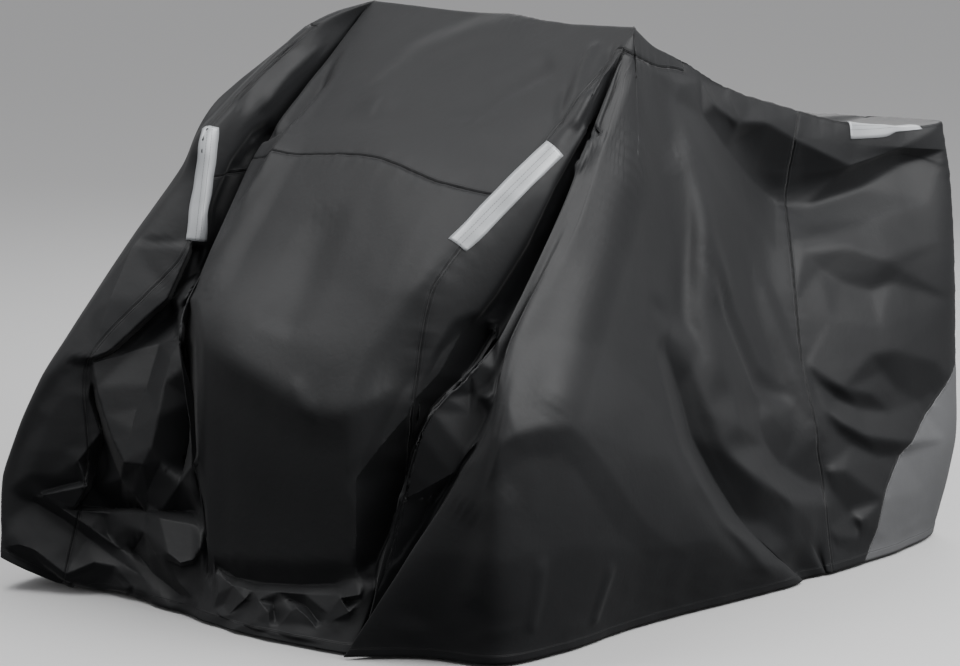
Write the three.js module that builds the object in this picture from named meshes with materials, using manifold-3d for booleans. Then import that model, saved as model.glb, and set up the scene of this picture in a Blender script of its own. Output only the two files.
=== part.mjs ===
import * as THREE from "three";
import { mergeVertices } from "three/addons/utils/BufferGeometryUtils.js";
import Module from "manifold-3d";

// All-terrain vehicle cover, draped and hollow. Millimetres, +Z up, the covered front looks along -Y.

// Cloth and trim
const clothThick = 2;
const seamGap = 0.3;
const stripHalfWidth = 25;
const stripHalfLength = 140;
const stripThick = 1.2;
const stripLift = 0.3;
const rearStripDrop = 44;
const seatSag = 45;

// Handlebar grips push the cloth up into two peaks, and a seam rings each peak at this distance
const leftGrip = [380, -35, 1180];
const rightGrip = [-380, 38, 1180];
const peakReach = 65;
const nearBulge = [0.35, -0.62, -0.72];
const farBulge = [-0.45, -0.62, -0.62];

// Named levels of the skirt from the crest down, and the rows of faces that reach each from the last
const levels = ["crest", "collar", "brow", "waist", "flank", "shoulder", "knee", "hem"];
const rowsTo = { collar: 1, brow: 3, waist: 2, flank: 3, shoulder: 3, knee: 4, hem: 4 };
const tautness = 0.35;
const highestBrow = 0.6;      // shares of a span, kept so that its rows stay in order
const lowestStripEnd = 0.8;
const widestStripEdge = 0.5;

// Upright sections of the skirt, in order round the cover. A crest left out is the grip's peak, a brow
// left out lies a strip's half length above the waist, and a flank left out lies midway. Drop is the
// collar's distance below the crest, and steps is the number of columns that reach the next section.
const hood = [
  { at: "hoodRight", steps: 3, waist: [-345, -390, 885], flank: [-299, -580, 691],
    shoulder: [-255, -700, 561], knee: [-172, -714, 125], hem: [-168, -742, 0], sharp: 0.7 },
  { at: "noseRight", steps: 3, crest: [-190, 22, 1178], waist: [-180, -392, 908],
    shoulder: [-130, -722, 560], knee: [-125, -716, 118], hem: [-125, -750, 0] },
  { at: "noseMiddle", steps: 3, crest: [0, 8, 1176], waist: [0, -398, 918], shoulder: [0, -728, 520],
    knee: [0, -724, 110], hem: [0, -766, 0] },
  { at: "noseLeft", steps: 3, crest: [190, -12, 1172], waist: [190, -418, 885], flank: [208, -590, 690],
    shoulder: [212, -718, 470], knee: [234, -714, 110], hem: [230, -754, 0], sharp: 0.3 },
];
const leftSide = [
  { at: "hoodSeam", steps: 2, waist: [335, -392, 868], flank: [293, -555, 706], shoulder: [284, -602, 500],
    knee: [280, -640, 250], hem: [244, -720, 0], trim: true },
  { at: "seamRidge", steps: 2, waist: [390, -309, 868], flank: [350, -452, 672], shoulder: [302, -590, 505],
    knee: [290, -615, 260], hem: [248, -706, 0], sharp: 0.5 },
  { at: "hoodValley", steps: 2, waist: [372, -235, 838], flank: [362, -350, 670], shoulder: [340, -480, 530],
    knee: [312, -600, 270], hem: [256, -686, 0] },
  { at: "innerPleat", steps: 2, waist: [438, -340, 845], flank: [462, -575, 608], shoulder: [398, -697, 478],
    knee: [318, -715, 245], hem: [256, -734, 0], sharp: 0.9 },
  { at: "pleatTrough", steps: 2, waist: [447, -335, 832], flank: [472, -535, 615],
    shoulder: [452, -610, 465], knee: [352, -655, 230], hem: [282, -698, 0] },
  { at: "outerPleat", steps: 3, waist: [454, -332, 822], flank: [482, -555, 615], shoulder: [500, -646, 448],
    knee: [372, -722, 215], hem: [250, -782, 0], sharp: 0.9 },
  { at: "toePanel", steps: 2, waist: [460, -326, 814], flank: [494, -540, 615], shoulder: [522, -645, 452],
    knee: [470, -690, 220], hem: [372, -676, 0] },
  { at: "nearCorner", steps: 3, waist: [467, -312, 806], flank: [508, -495, 610], shoulder: [545, -625, 455],
    knee: [552, -645, 215], hem: [520, -628, 0] },
  { at: "wheelFront", steps: 3, waist: [473, -225, 796], flank: [528, -370, 610], shoulder: [580, -471, 455],
    knee: [592, -470, 215], hem: [550, -450, 0] },
  { at: "wheelRear", steps: 3, waist: [478, -155, 762], flank: [535, -220, 560], shoulder: [584, -262, 362],
    knee: [585, -255, 170], hem: [538, -215, 0] },
  { at: "frontTongue", steps: 3, waist: [480, -92, 722], flank: [530, -130, 545], shoulder: [572, -110, 350],
    knee: [602, 30, 155], hem: [572, 255, 0] },
  { at: "softValley", steps: 3, crest: [362, 60, 1132], drop: 45, waist: [446, 45, 755],
    flank: [490, -15, 575], shoulder: [524, -10, 390], knee: [550, 130, 165], hem: [552, 325, 0] },
  { at: "backTongue", steps: 3, crest: [350, 170, 1092], drop: 26, waist: [455, 130, 780],
    flank: [505, 75, 600], shoulder: [556, 62, 400], knee: [586, 195, 200], hem: [562, 390, 0] },
  { at: "sagPocket", steps: 2, crest: [347, 340, 1018], waist: [352, 420, 772], flank: [440, 300, 585],
    shoulder: [498, 270, 400], knee: [530, 300, 225], hem: [560, 404, 0] },
  { at: "sideSeam", steps: 3, crest: [365, 560, 955], waist: [350, 535, 762], flank: [445, 440, 590],
    shoulder: [502, 395, 420], knee: [554, 392, 220], hem: [570, 416, 0] },
  { at: "rearPanel", steps: 3, crest: [400, 699, 920], waist: [388, 685, 778], flank: [478, 610, 600],
    shoulder: [530, 565, 420], knee: [565, 552, 215], hem: [570, 540, 0] },
  { at: "rearQuarter", steps: 2, crest: [432, 868, 896], waist: [425, 850, 815], flank: [505, 790, 610],
    shoulder: [545, 745, 420], knee: [568, 740, 210], hem: [560, 700, 0] },
];
const tail = [
  { at: "rearCorner", steps: 3, crest: [450, 985, 900], waist: [478, 985, 760], flank: [505, 962, 600],
    shoulder: [522, 945, 410], knee: [528, 940, 200], hem: [500, 900, 0], sharp: 0.2 },
  { at: "tailLeft", steps: 3, crest: [230, 1010, 890], waist: [240, 1025, 760], flank: [250, 1022, 600],
    shoulder: [255, 1012, 410], knee: [255, 1000, 200], hem: [245, 950, 0] },
  { at: "tailMiddle", steps: 3, crest: [0, 1015, 884], waist: [0, 1030, 760], flank: [0, 1030, 600],
    shoulder: [0, 1020, 410], knee: [0, 1008, 200], hem: [0, 960, 0] },
  { at: "tailRight", steps: 3, crest: [-230, 1010, 888], waist: [-240, 1025, 760], flank: [-250, 1022, 600],
    shoulder: [-255, 1012, 410], knee: [-255, 1000, 200], hem: [-245, 950, 0] },
];
const farWheel = [
  { at: "farTent", steps: 2, waist: [-490, -150, 800], flank: [-560, -260, 600], shoulder: [-640, -360, 430],
    knee: [-690, -380, 200], hem: [-680, -380, 0] },
  { at: "farBulge", steps: 2, collar: [-440, -60, 1135], brow: [-475, -320, 1000],
    waist: [-508, -385, 870], flank: [-580, -495, 680], shoulder: [-670, -600, 440],
    knee: [-718, -640, 225], hem: [-712, -690, 34] },
  { at: "farOutline", steps: 3, collar: [-425, -120, 1140], brow: [-450, -422, 954],
    waist: [-468, -472, 850], flank: [-506, -575, 716], shoulder: [-606, -748, 450],
    knee: [-675, -795, 240], hem: [-668, -812, 64] },
  { at: "flapSeam", steps: 2, collar: [-405, -130, 1135], brow: [-414, -434, 956],
    waist: [-404, -468, 848], flank: [-404, -540, 690], shoulder: [-512, -708, 488],
    knee: [-545, -680, 260], hem: [-590, -716, 0], trim: true },
  { at: "flapEdge", steps: 2, brow: [-402, -350, 950], waist: [-402, -398, 846],
    flank: [-386, -508, 692], shoulder: [-500, -700, 492], knee: [-520, -650, 265],
    hem: [-560, -708, 0], sharp: 0.8 },
  { at: "tongueLeft", steps: 2, waist: [-410, -300, 850], flank: [-390, -420, 680],
    shoulder: [-420, -590, 515], knee: [-430, -672, 295], hem: [-430, -686, 0] },
  { at: "tongueEdge", steps: 2, waist: [-402, -290, 850], flank: [-375, -430, 685],
    shoulder: [-285, -680, 540], knee: [-342, -702, 300], hem: [-300, -715, 0], sharp: 0.8 },
  { at: "tongueSlot", steps: 2, waist: [-385, -310, 860], flank: [-350, -480, 690],
    shoulder: [-268, -685, 548], knee: [-215, -650, 310], hem: [-215, -725, 0] },
];
// The hidden far side stands plain, as the near side's mirror image
const mirrored = ["rearCorner", "rearQuarter", "rearPanel", "sideSeam", "sagPocket", "backTongue",
  "softValley", "frontTongue"];

// Edge of the grey lower rear panel seen from the side, as y and z, from the hem to past the tail
const greyEdge = [[520, -30], [548, 12], [578, 60], [612, 140], [690, 222], [800, 290], [900, 362],
  [960, 402], [1010, 415], [1120, 418]];
const greyEdgeSteps = 24;
const prismWidth = 1600;

// Colours and finish read from the photograph
const blackCloth = { color: 0x2b2c2e, roughness: 0.55, metalness: 0 };
const greyCloth = { color: 0x6f7072, roughness: 0.6, metalness: 0 };
const reflective = { color: 0xbcc0c4, roughness: 0.35, metalness: 0.1 };

const vector = (point) => new THREE.Vector3(...point);

function mirrorSection(name) {
  const near = [...leftSide, ...tail].find((section) => section.at === name);
  const far = { ...near, at: near.at + "Far" };
  for (const level of levels) {
    if (near[level]) far[level] = [-near[level][0], near[level][1], near[level][2]];
  }
  return far;
}

// Each span of the far side takes the number of columns of the near span that it mirrors
const farTentSteps = 2;
const farSide = mirrored.map(mirrorSection);
const nearSteps = farSide.map((section) => section.steps);
farSide.forEach((section, i) => {
  section.steps = nearSteps[i + 1] ?? farTentSteps;
});

const rows = [];
for (const [index, level] of levels.entries()) {
  for (let row = 1; row <= (rowsTo[level] ?? 0); row++) {
    rows.push({ level: index - 1, share: row / rowsTo[level] });
  }
}
rows.unshift({ level: 0, share: 0 });
const rowOf = (name) => rows.findIndex((row) => row.level === levels.indexOf(name) - 1 && row.share === 1);

// A section's points by level, with a crest and a flank filled in where they are left out
function completeSection(section, grip) {
  const placed = levels.map((level) => [level, section[level] && vector(section[level])]);
  const places = Object.fromEntries(placed);
  places.crest ??= vector(grip);
  places.flank ??= places.waist.clone().lerp(places.shoulder, 0.5);
  return { ...section, sharp: section.sharp ?? 0, places };
}

const sections = [
  ...hood.map((section) => completeSection(section, rightGrip)),
  ...leftSide.map((section) => completeSection(section, leftGrip)),
  ...tail.map((section) => completeSection(section)),
  ...farSide.map((section) => completeSection(section, rightGrip)),
  ...farWheel.map((section) => completeSection(section, rightGrip)),
];
const count = sections.length;
const sectionAt = (index) => sections[(index + count) % count];
const placesAt = (index) => sectionAt(index).places;
const indexOf = (name) => sections.findIndex((section) => section.at === name);

// Round a grip's peak the collar is an even arc, so the folds only start below it
function layCollars(first, last, bulge) {
  const start = indexOf(first);
  const end = indexOf(last) + (indexOf(last) < start ? count : 0);
  const toward = (index) => placesAt(index).waist.clone().sub(placesAt(index).crest).normalize();
  const from = toward(start);
  const to = toward(end);
  for (let i = start; i <= end; i++) {
    const s = (i - start) / (end - start);
    const direction = from.clone().multiplyScalar((1 - s) ** 2)
      .addScaledVector(vector(bulge), 2 * s * (1 - s))
      .addScaledVector(to, s ** 2)
      .normalize();
    placesAt(i).collar ??= placesAt(i).crest.clone().addScaledVector(direction, peakReach);
  }
}
layCollars("hoodSeam", "frontTongue", nearBulge);
layCollars("frontTongueFar", "hoodRight", farBulge);
for (const { at, drop, places } of sections) {
  const usualDrop = hood.some((section) => section.at === at) ? peakReach : rearStripDrop;
  const fall = places.waist.clone().sub(places.crest).normalize();
  places.collar ??= places.crest.clone().addScaledVector(fall, drop ?? usualDrop);
}

// Cubic from b to c that leaves and arrives along its neighbours, or straight where slack is 0
function glide(a, b, c, d, t, slackB, slackC) {
  if (b.equals(c)) return b.clone();
  const chord = c.clone().sub(b);
  const leave = c.clone().sub(a).multiplyScalar(0.5 * slackB).addScaledVector(chord, 1 - slackB);
  const arrive = d.clone().sub(b).multiplyScalar(0.5 * slackC).addScaledVector(chord, 1 - slackC);
  const t2 = t * t;
  const t3 = t2 * t;
  return b.clone().multiplyScalar(2 * t3 - 3 * t2 + 1)
    .addScaledVector(leave, t3 - 2 * t2 + t)
    .addScaledVector(c, 3 * t2 - 2 * t3)
    .addScaledVector(arrive, t3 - t2);
}

for (const { places } of sections) {
  const { crest, collar, waist, flank } = places;
  const share = Math.max(highestBrow, 1 - stripHalfLength / collar.distanceTo(waist));
  places.brow ??= glide(crest, collar, waist, flank, share, 1 - tautness, 1 - tautness);
}

function downSection(section, level, t) {
  const before = section.places[levels[Math.max(level - 1, 0)]];
  const start = section.places[levels[level]];
  const end = section.places[levels[level + 1]];
  const after = section.places[levels[Math.min(level + 2, levels.length - 1)]];
  return glide(before, start, end, after, t, 1 - tautness, 1 - tautness);
}

// A point of the skirt: turn counts sections round the cover, level and t run down it
function skirtPoint(turn, level, t) {
  const i = Math.floor(turn);
  const [a, b, c, d] = [i - 1, i, i + 1, i + 2].map((k) => downSection(sectionAt(k), level, t));
  return glide(a, b, c, d, turn - i, 1 - sectionAt(i).sharp, 1 - sectionAt(i + 1).sharp);
}

// The second row below the waist lies a strip's half length down where there is room
function rowPlace(row, turn) {
  if (levels[row.level + 1] !== "flank" || row.share === 1) return row.share;
  const length = skirtPoint(turn, row.level, 0).distanceTo(skirtPoint(turn, row.level + 1, 0));
  const stripEnd = Math.min(lowestStripEnd, stripHalfLength / length);
  return (stripEnd * row.share * rowsTo.flank) / (rowsTo.flank - 1);
}

// Columns beside a trimmed seam run parallel to it, under the strip's long edges
function columnTurn(index, step, level, t) {
  const { steps } = sections[index];
  const [start, end] = [index, index + 1].map((k) => downSection(sectionAt(k), level, t));
  const chord = start.distanceTo(end);
  const beside = Math.min(widestStripEdge, stripHalfWidth / chord);
  if (sectionAt(index + 1).trim && step === steps - 1) return index + 1 - beside;
  if (sections[index].trim && step === 1) return index + beside;
  return index + step / steps;
}

const columns = [];
sections.forEach((section, index) => {
  for (let step = 0; step < section.steps; step++) {
    columns.push(rows.map((row) => {
      const t = rowPlace(row, index + step / section.steps);
      return skirtPoint(columnTurn(index, step, row.level, t), row.level, t);
    }));
  }
  section.column = columns.length - section.steps;
});
const columnOf = (name) => sections[indexOf(name)].column;

// Rows beside a trimmed seam stand square to it, so the strip over them has square ends
for (const { column } of sections.filter((section) => section.trim)) {
  const seam = columns[column];
  for (const beside of [columns[column - 1], columns[column + 1]]) {
    for (let row = rowOf("collar") + 1; row + 1 < rows.length; row++) {
      const along = seam[row + 1].clone().sub(seam[row - 1]).normalize();
      const offset = beside[row].clone().sub(seam[row]);
      beside[row].addScaledVector(along, -offset.dot(along));
    }
  }
}

// Shared points and tagged triangles of the whole cover
const keysPerMm = 100;
const points = [];
const pointKeys = new Map();
const faces = [];

function pointIndex(position) {
  const key = position.toArray().map((value) => Math.round(value * keysPerMm)).join();
  if (!pointKeys.has(key)) {
    pointKeys.set(key, points.length);
    points.push(position);
  }
  return pointKeys.get(key);
}

function addFace(panel, ...corners) {
  const [a, b, c] = corners.map(pointIndex);
  if (a !== b && b !== c && c !== a) faces.push({ panel, corners: [a, b, c] });
}

const panelStarts = [
  ["front_left_panel", "hoodSeam"], ["rear_left_panel", "sideSeam"], ["tail_panel", "rearCorner"],
  ["rear_right_panel", "rearCornerFar"], ["front_right_panel", "sideSeamFar"], ["hood_panel", "flapSeam"],
];

function panelAt(column, row) {
  const started = panelStarts.filter(([, start]) => column >= columnOf(start));
  const panel = started.length ? started.at(-1)[0] : "hood_panel";
  if (panel === "hood_panel") return row < rowOf("waist") ? "top_panel" : panel;
  const onNearPeak = column >= columnOf("hoodSeam") && column < columnOf("backTongue");
  const onFarPeak = column >= columnOf("backTongueFar") && column < columnOf("flapSeam");
  return row === 0 && (onNearPeak || onFarPeak) ? "top_panel" : panel;
}

columns.forEach((column, c) => {
  const next = columns[(c + 1) % columns.length];
  for (let r = 0; r + 1 < rows.length; r++) {
    const panel = panelAt(c, r);
    if (r === 0 && c === columnOf("backTongue")) {
      addFace("top_panel", column[0], column[1], next[0]);
      addFace(panel, column[1], next[1], next[0]);
    } else if (r === 0 && c + 1 === columnOf("backTongueFar")) {
      addFace("top_panel", column[0], next[1], next[0]);
      addFace(panel, column[0], column[1], next[1]);
    } else {
      addFace(panel, column[r], column[r + 1], next[r + 1]);
      addFace(panel, column[r], next[r + 1], next[r]);
    }
  }
});

// The seat's cover fills the ring of crests behind the grips, sagging between its edges
const crests = columns.map((column) => column[0]);
const ridge = crests.slice(columnOf("hoodRight"), columnOf("hoodSeam") + 1);
const nearEdge = crests.slice(columnOf("frontTongue"), columnOf("rearCorner") + 1);
const farEdge = crests.slice(columnOf("rearCornerFar"), columnOf("frontTongueFar") + 1).reverse();
const tailEdge = crests.slice(columnOf("rearCorner"), columnOf("rearCornerFar") + 1).reverse();

function seatPoint(a, b) {
  const u = a / (ridge.length - 1);
  const v = (nearEdge[b].y - nearEdge[0].y) / (nearEdge.at(-1).y - nearEdge[0].y);
  if (b === 0) return ridge[a];
  if (b === nearEdge.length - 1) return tailEdge[a];
  if (a === 0) return farEdge[b];
  if (a === ridge.length - 1) return nearEdge[b];
  const corner = (point, share) => point.clone().multiplyScalar(-share);
  const point = farEdge[b].clone().multiplyScalar(1 - u)
    .addScaledVector(nearEdge[b], u)
    .addScaledVector(ridge[a], 1 - v)
    .addScaledVector(tailEdge[a], v)
    .add(corner(ridge[0], (1 - u) * (1 - v)))
    .add(corner(ridge.at(-1), u * (1 - v)))
    .add(corner(tailEdge[0], (1 - u) * v))
    .add(corner(tailEdge.at(-1), u * v));
  point.z -= seatSag * Math.sin(Math.PI * v) * Math.sin(Math.PI * u);
  return point;
}

for (let a = 0; a + 1 < ridge.length; a++) {
  for (let b = 0; b + 1 < nearEdge.length; b++) {
    const corners = [seatPoint(a, b), seatPoint(a + 1, b), seatPoint(a + 1, b + 1), seatPoint(a, b + 1)];
    addFace("top_panel", corners[0], corners[1], corners[2]);
    addFace("top_panel", corners[0], corners[2], corners[3]);
  }
}

const faceNormal = ([a, b, c]) => points[b].clone().sub(points[a]).cross(points[c].clone().sub(points[a]));
const normals = points.map(() => new THREE.Vector3());
for (const face of faces) {
  for (const corner of face.corners) normals[corner].add(faceNormal(face.corners));
}
normals.forEach((normal) => normal.normalize());

const edgeKey = (a, b) => `${Math.min(a, b)} ${Math.max(a, b)}`;
const edgeUses = new Map();
for (const { corners } of faces) {
  corners.forEach((a, i) => {
    const key = edgeKey(a, corners[(i + 1) % 3]);
    edgeUses.set(key, (edgeUses.get(key) ?? 0) + 1);
  });
}

// A seam's gap is widened at most this much where its edge turns
const mitreLimit = 2;

// Closed sheet over the given triangles, between two heights above the cloth's outer face
function sheetGeometry(triangles, low, high, gap) {
  const rims = new Map();
  for (const corners of triangles) {
    corners.forEach((a, i) => {
      const b = corners[(i + 1) % 3];
      const key = edgeKey(a, b);
      const inward = faceNormal(corners).cross(points[b].clone().sub(points[a])).normalize();
      if (rims.has(key)) rims.delete(key);
      else rims.set(key, { a, b, inward });
    });
  }
  const insets = new Map();
  for (const [key, { a, b, inward }] of rims) {
    if (edgeUses.get(key) < 2) continue;
    for (const corner of [a, b]) insets.set(corner, [...(insets.get(corner) ?? []), inward]);
  }
  const used = [...new Set(triangles.flat())];
  const place = new Map(used.map((corner, i) => [corner, i]));
  const positions = [];
  for (const height of [high, low]) {
    for (const corner of used) {
      const spot = points[corner].clone().addScaledVector(normals[corner], height);
      const inward = insets.get(corner);
      if (inward && gap) {
        const sum = inward.reduce((total, part) => total.add(part), new THREE.Vector3());
        const mean = sum.clone().normalize();
        spot.addScaledVector(mean, gap / 2 / Math.max(1 / mitreLimit, mean.dot(inward[0])));
      }
      positions.push(...spot.toArray());
    }
  }
  const lowSide = used.length;
  const index = [];
  const placed = triangles.map((corners) => corners.map((corner) => place.get(corner)));
  for (const [a, b, c] of placed) {
    index.push(a, b, c, lowSide + a, lowSide + c, lowSide + b);
  }
  for (const rim of rims.values()) {
    const a = place.get(rim.a);
    const b = place.get(rim.b);
    // Two sheets that share a seam split its rim along the same diagonal
    if (rim.a < rim.b) index.push(b, a, lowSide + a, b, lowSide + a, lowSide + b);
    else index.push(b, a, lowSide + b, a, lowSide + a, lowSide + b);
  }
  const geometry = new THREE.BufferGeometry();
  geometry.setAttribute("position", new THREE.Float32BufferAttribute(positions, 3));
  geometry.setIndex(index);
  return geometry;
}

function facesOf(...panels) {
  return faces.filter((face) => panels.includes(face.panel)).map((face) => face.corners);
}

const clothSheet = (...panels) => sheetGeometry(facesOf(...panels), -clothThick, 0, seamGap);

// Reflective strip over a block of the cover's faces
function stripSheet(firstColumn, lastColumn, firstRow, lastRow) {
  const corners = (c, r) => pointIndex(columns[(c + columns.length) % columns.length][r]);
  const triangles = [];
  for (let c = firstColumn; c < lastColumn; c++) {
    for (let r = firstRow; r < lastRow; r++) {
      triangles.push([corners(c, r), corners(c, r + 1), corners(c + 1, r + 1)]);
      triangles.push([corners(c, r), corners(c + 1, r + 1), corners(c + 1, r)]);
    }
  }
  return sheetGeometry(triangles, stripLift, stripLift + stripThick, 0);
}

const wasm = await Module();
wasm.setup();

function toManifold(geometry) {
  return new wasm.Manifold(new wasm.Mesh({
    numProp: 3,
    vertProperties: new Float32Array(geometry.attributes.position.array),
    triVerts: new Uint32Array(geometry.index.array),
  }));
}

function toGeometry(solid) {
  const mesh = solid.getMesh();
  const geometry = new THREE.BufferGeometry();
  geometry.setAttribute("position", new THREE.BufferAttribute(new Float32Array(mesh.vertProperties), 3));
  geometry.setIndex(new THREE.BufferAttribute(new Uint32Array(mesh.triVerts), 1));
  return geometry;
}

// Prism across the cover that holds everything below the grey panel's edge, grown by a margin
function greyRegion(margin) {
  const line = new THREE.SplineCurve(greyEdge.map(([y, z]) => new THREE.Vector2(y, z)));
  const outline = [];
  for (let i = 0; i <= greyEdgeSteps; i++) {
    const tangent = line.getTangent(i / greyEdgeSteps);
    const aside = new THREE.Vector2(-tangent.y, tangent.x).multiplyScalar(margin);
    outline.push(line.getPoint(i / greyEdgeSteps).add(aside));
  }
  outline.push(new THREE.Vector2(greyEdge.at(-1)[0], greyEdge[0][1]));
  const settings = { depth: prismWidth, bevelEnabled: false };
  const prism = new THREE.ExtrudeGeometry(new THREE.Shape(outline), settings);
  prism.deleteAttribute("normal");
  prism.deleteAttribute("uv");
  // The shape's x and y become the cover's y and z
  prism.applyMatrix4(new THREE.Matrix4().makeBasis(
    new THREE.Vector3(0, 1, 0), new THREE.Vector3(0, 0, 1), new THREE.Vector3(1, 0, 0)));
  prism.translate(-prismWidth / 2, 0, 0);
  return toManifold(mergeVertices(prism));
}

const cover = new THREE.Group();

function addPiece(name, geometry, finish) {
  const mesh = new THREE.Mesh(geometry, new THREE.MeshStandardMaterial(finish));
  mesh.name = name;
  cover.add(mesh);
}

for (const panel of ["top_panel", "hood_panel", "front_left_panel", "front_right_panel"]) {
  addPiece(panel, clothSheet(panel), blackCloth);
}

// The grey panel runs in one piece round the tail, below the three black ones
const rearPanels = ["rear_left_panel", "tail_panel", "rear_right_panel"];
const aboveGrey = greyRegion(seamGap / 2);
for (const panel of rearPanels) {
  addPiece(panel, toGeometry(toManifold(clothSheet(panel)).subtract(aboveGrey)), blackCloth);
}
addPiece("grey_panel", toGeometry(toManifold(clothSheet(...rearPanels)).intersect(greyRegion(-seamGap / 2))),
  greyCloth);

const stripTop = rowOf("waist") - 2;
const stripFoot = rowOf("waist") + 2;
for (const [name, seam] of [["front_left_strip", "hoodSeam"], ["front_right_strip", "flapSeam"]]) {
  addPiece(name, stripSheet(columnOf(seam) - 1, columnOf(seam) + 1, stripTop, stripFoot), reflective);
}
const collarRow = rowOf("collar");
for (const [name, first, last] of [
  ["rear_left_strip", columnOf("rearPanel"), columnOf("rearQuarter") + 1],
  ["rear_right_strip", columnOf("rearCornerFar") + 1, columnOf("rearPanelFar")],
]) {
  addPiece(name, stripSheet(first, last, 0, collarRow), reflective);
}

// The origin is the middle of the floor under the cover
const extent = new THREE.Box3().setFromObject(cover);
const middle = extent.getCenter(new THREE.Vector3());
for (const mesh of cover.children) mesh.geometry.translate(-middle.x, -middle.y, -extent.min.z);

export default cover;
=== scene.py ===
import math
import bmesh
import bpy
import numpy as np
from mathutils import Matrix, Vector, noise
from mathutils.bvhtree import BVHTree
from mathutils.geometry import delaunay_2d_cdt
from mathutils.kdtree import KDTree


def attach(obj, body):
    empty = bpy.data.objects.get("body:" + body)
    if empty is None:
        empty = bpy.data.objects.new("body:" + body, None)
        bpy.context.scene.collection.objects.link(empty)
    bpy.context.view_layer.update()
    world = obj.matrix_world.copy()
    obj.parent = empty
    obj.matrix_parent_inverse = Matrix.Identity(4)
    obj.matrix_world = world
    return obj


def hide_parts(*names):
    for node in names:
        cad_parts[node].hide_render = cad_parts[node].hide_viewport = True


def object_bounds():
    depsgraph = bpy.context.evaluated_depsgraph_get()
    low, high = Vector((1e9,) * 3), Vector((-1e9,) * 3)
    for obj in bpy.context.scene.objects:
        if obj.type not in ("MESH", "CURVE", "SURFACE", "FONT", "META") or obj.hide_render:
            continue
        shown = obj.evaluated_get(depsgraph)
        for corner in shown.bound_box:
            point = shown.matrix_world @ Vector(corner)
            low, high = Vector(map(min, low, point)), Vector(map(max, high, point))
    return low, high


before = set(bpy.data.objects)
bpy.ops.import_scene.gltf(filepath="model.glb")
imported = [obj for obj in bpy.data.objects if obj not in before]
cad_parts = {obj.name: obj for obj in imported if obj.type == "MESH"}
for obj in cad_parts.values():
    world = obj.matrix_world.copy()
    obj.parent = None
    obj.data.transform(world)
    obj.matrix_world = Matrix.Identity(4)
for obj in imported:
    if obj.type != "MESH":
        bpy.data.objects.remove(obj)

cadLow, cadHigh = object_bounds()
mm = 0.001
weld = 0.00001    # metres, points closer than this are merged


def addObject(name, data):
    item = bpy.data.objects.new(name, data)
    bpy.context.collection.objects.link(item)
    return item


def turnTo(item, direction):
    # cameras and lamps look down their own z axis
    item.rotation_mode = "QUATERNION"
    item.rotation_quaternion = Vector(direction).to_track_quat("-Z", "Y")


def bmeshOf(mesh):
    bm = bmesh.new()
    bm.from_mesh(mesh)
    return bm


def meshFrom(bm, name):
    mesh = bpy.data.meshes.new(name)
    bm.to_mesh(mesh)
    bm.free()
    return mesh


def withParts(faces):
    edges = list({edge for face in faces for edge in face.edges})
    return faces + edges + list({vertex for face in faces for vertex in face.verts})


# Camera at the photograph's angle
photo = {"width": 960, "height": 666}
cameraValues = {
    "azimuth": 40.0,        # degrees round from the cover's front
    "elevation": 10.0,
    "distance": 8.5,        # metres to the look-at point
    "lens": 151.4,
    "sensor": 36.0,
    "lookAt": (0.0264, -0.1364, 0.5102),
    "farEnd": 60,
}


def cameraBasis():
    turn = math.radians(cameraValues["azimuth"])
    rise = math.radians(cameraValues["elevation"])
    back = np.array([math.sin(turn) * math.cos(rise), -math.cos(turn) * math.cos(rise), math.sin(rise)])
    right = np.array([math.cos(turn), math.sin(turn), 0.0])
    return right, np.cross(back, right), back


def makeCamera():
    data = bpy.data.cameras.new("camera")
    data.lens = cameraValues["lens"]
    data.sensor_width = cameraValues["sensor"]
    data.clip_end = cameraValues["farEnd"]
    camera = addObject("camera", data)
    camera.location = cameraPlace
    turnTo(camera, -back)
    bpy.context.scene.camera = camera


right, up, back = cameraBasis()
cameraPlace = np.array(cameraValues["lookAt"]) + back * cameraValues["distance"]
focalPixels = cameraValues["lens"] / cameraValues["sensor"] * photo["width"]
makeCamera()


def pixelRay(u, v):
    # from the camera through a pixel
    along = -back + right * (u - photo["width"] / 2) / focalPixels
    along = along + up * (photo["height"] / 2 - v) / focalPixels
    return Vector(cameraPlace), Vector(along).normalized()


def pixelsOf(points):
    offset = points - cameraPlace
    depth = -offset @ back
    u = photo["width"] / 2 + focalPixels * (offset @ right) / depth
    v = photo["height"] / 2 - focalPixels * (offset @ up) / depth
    return np.stack([u, v], axis=1)


print("camera set")

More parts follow.
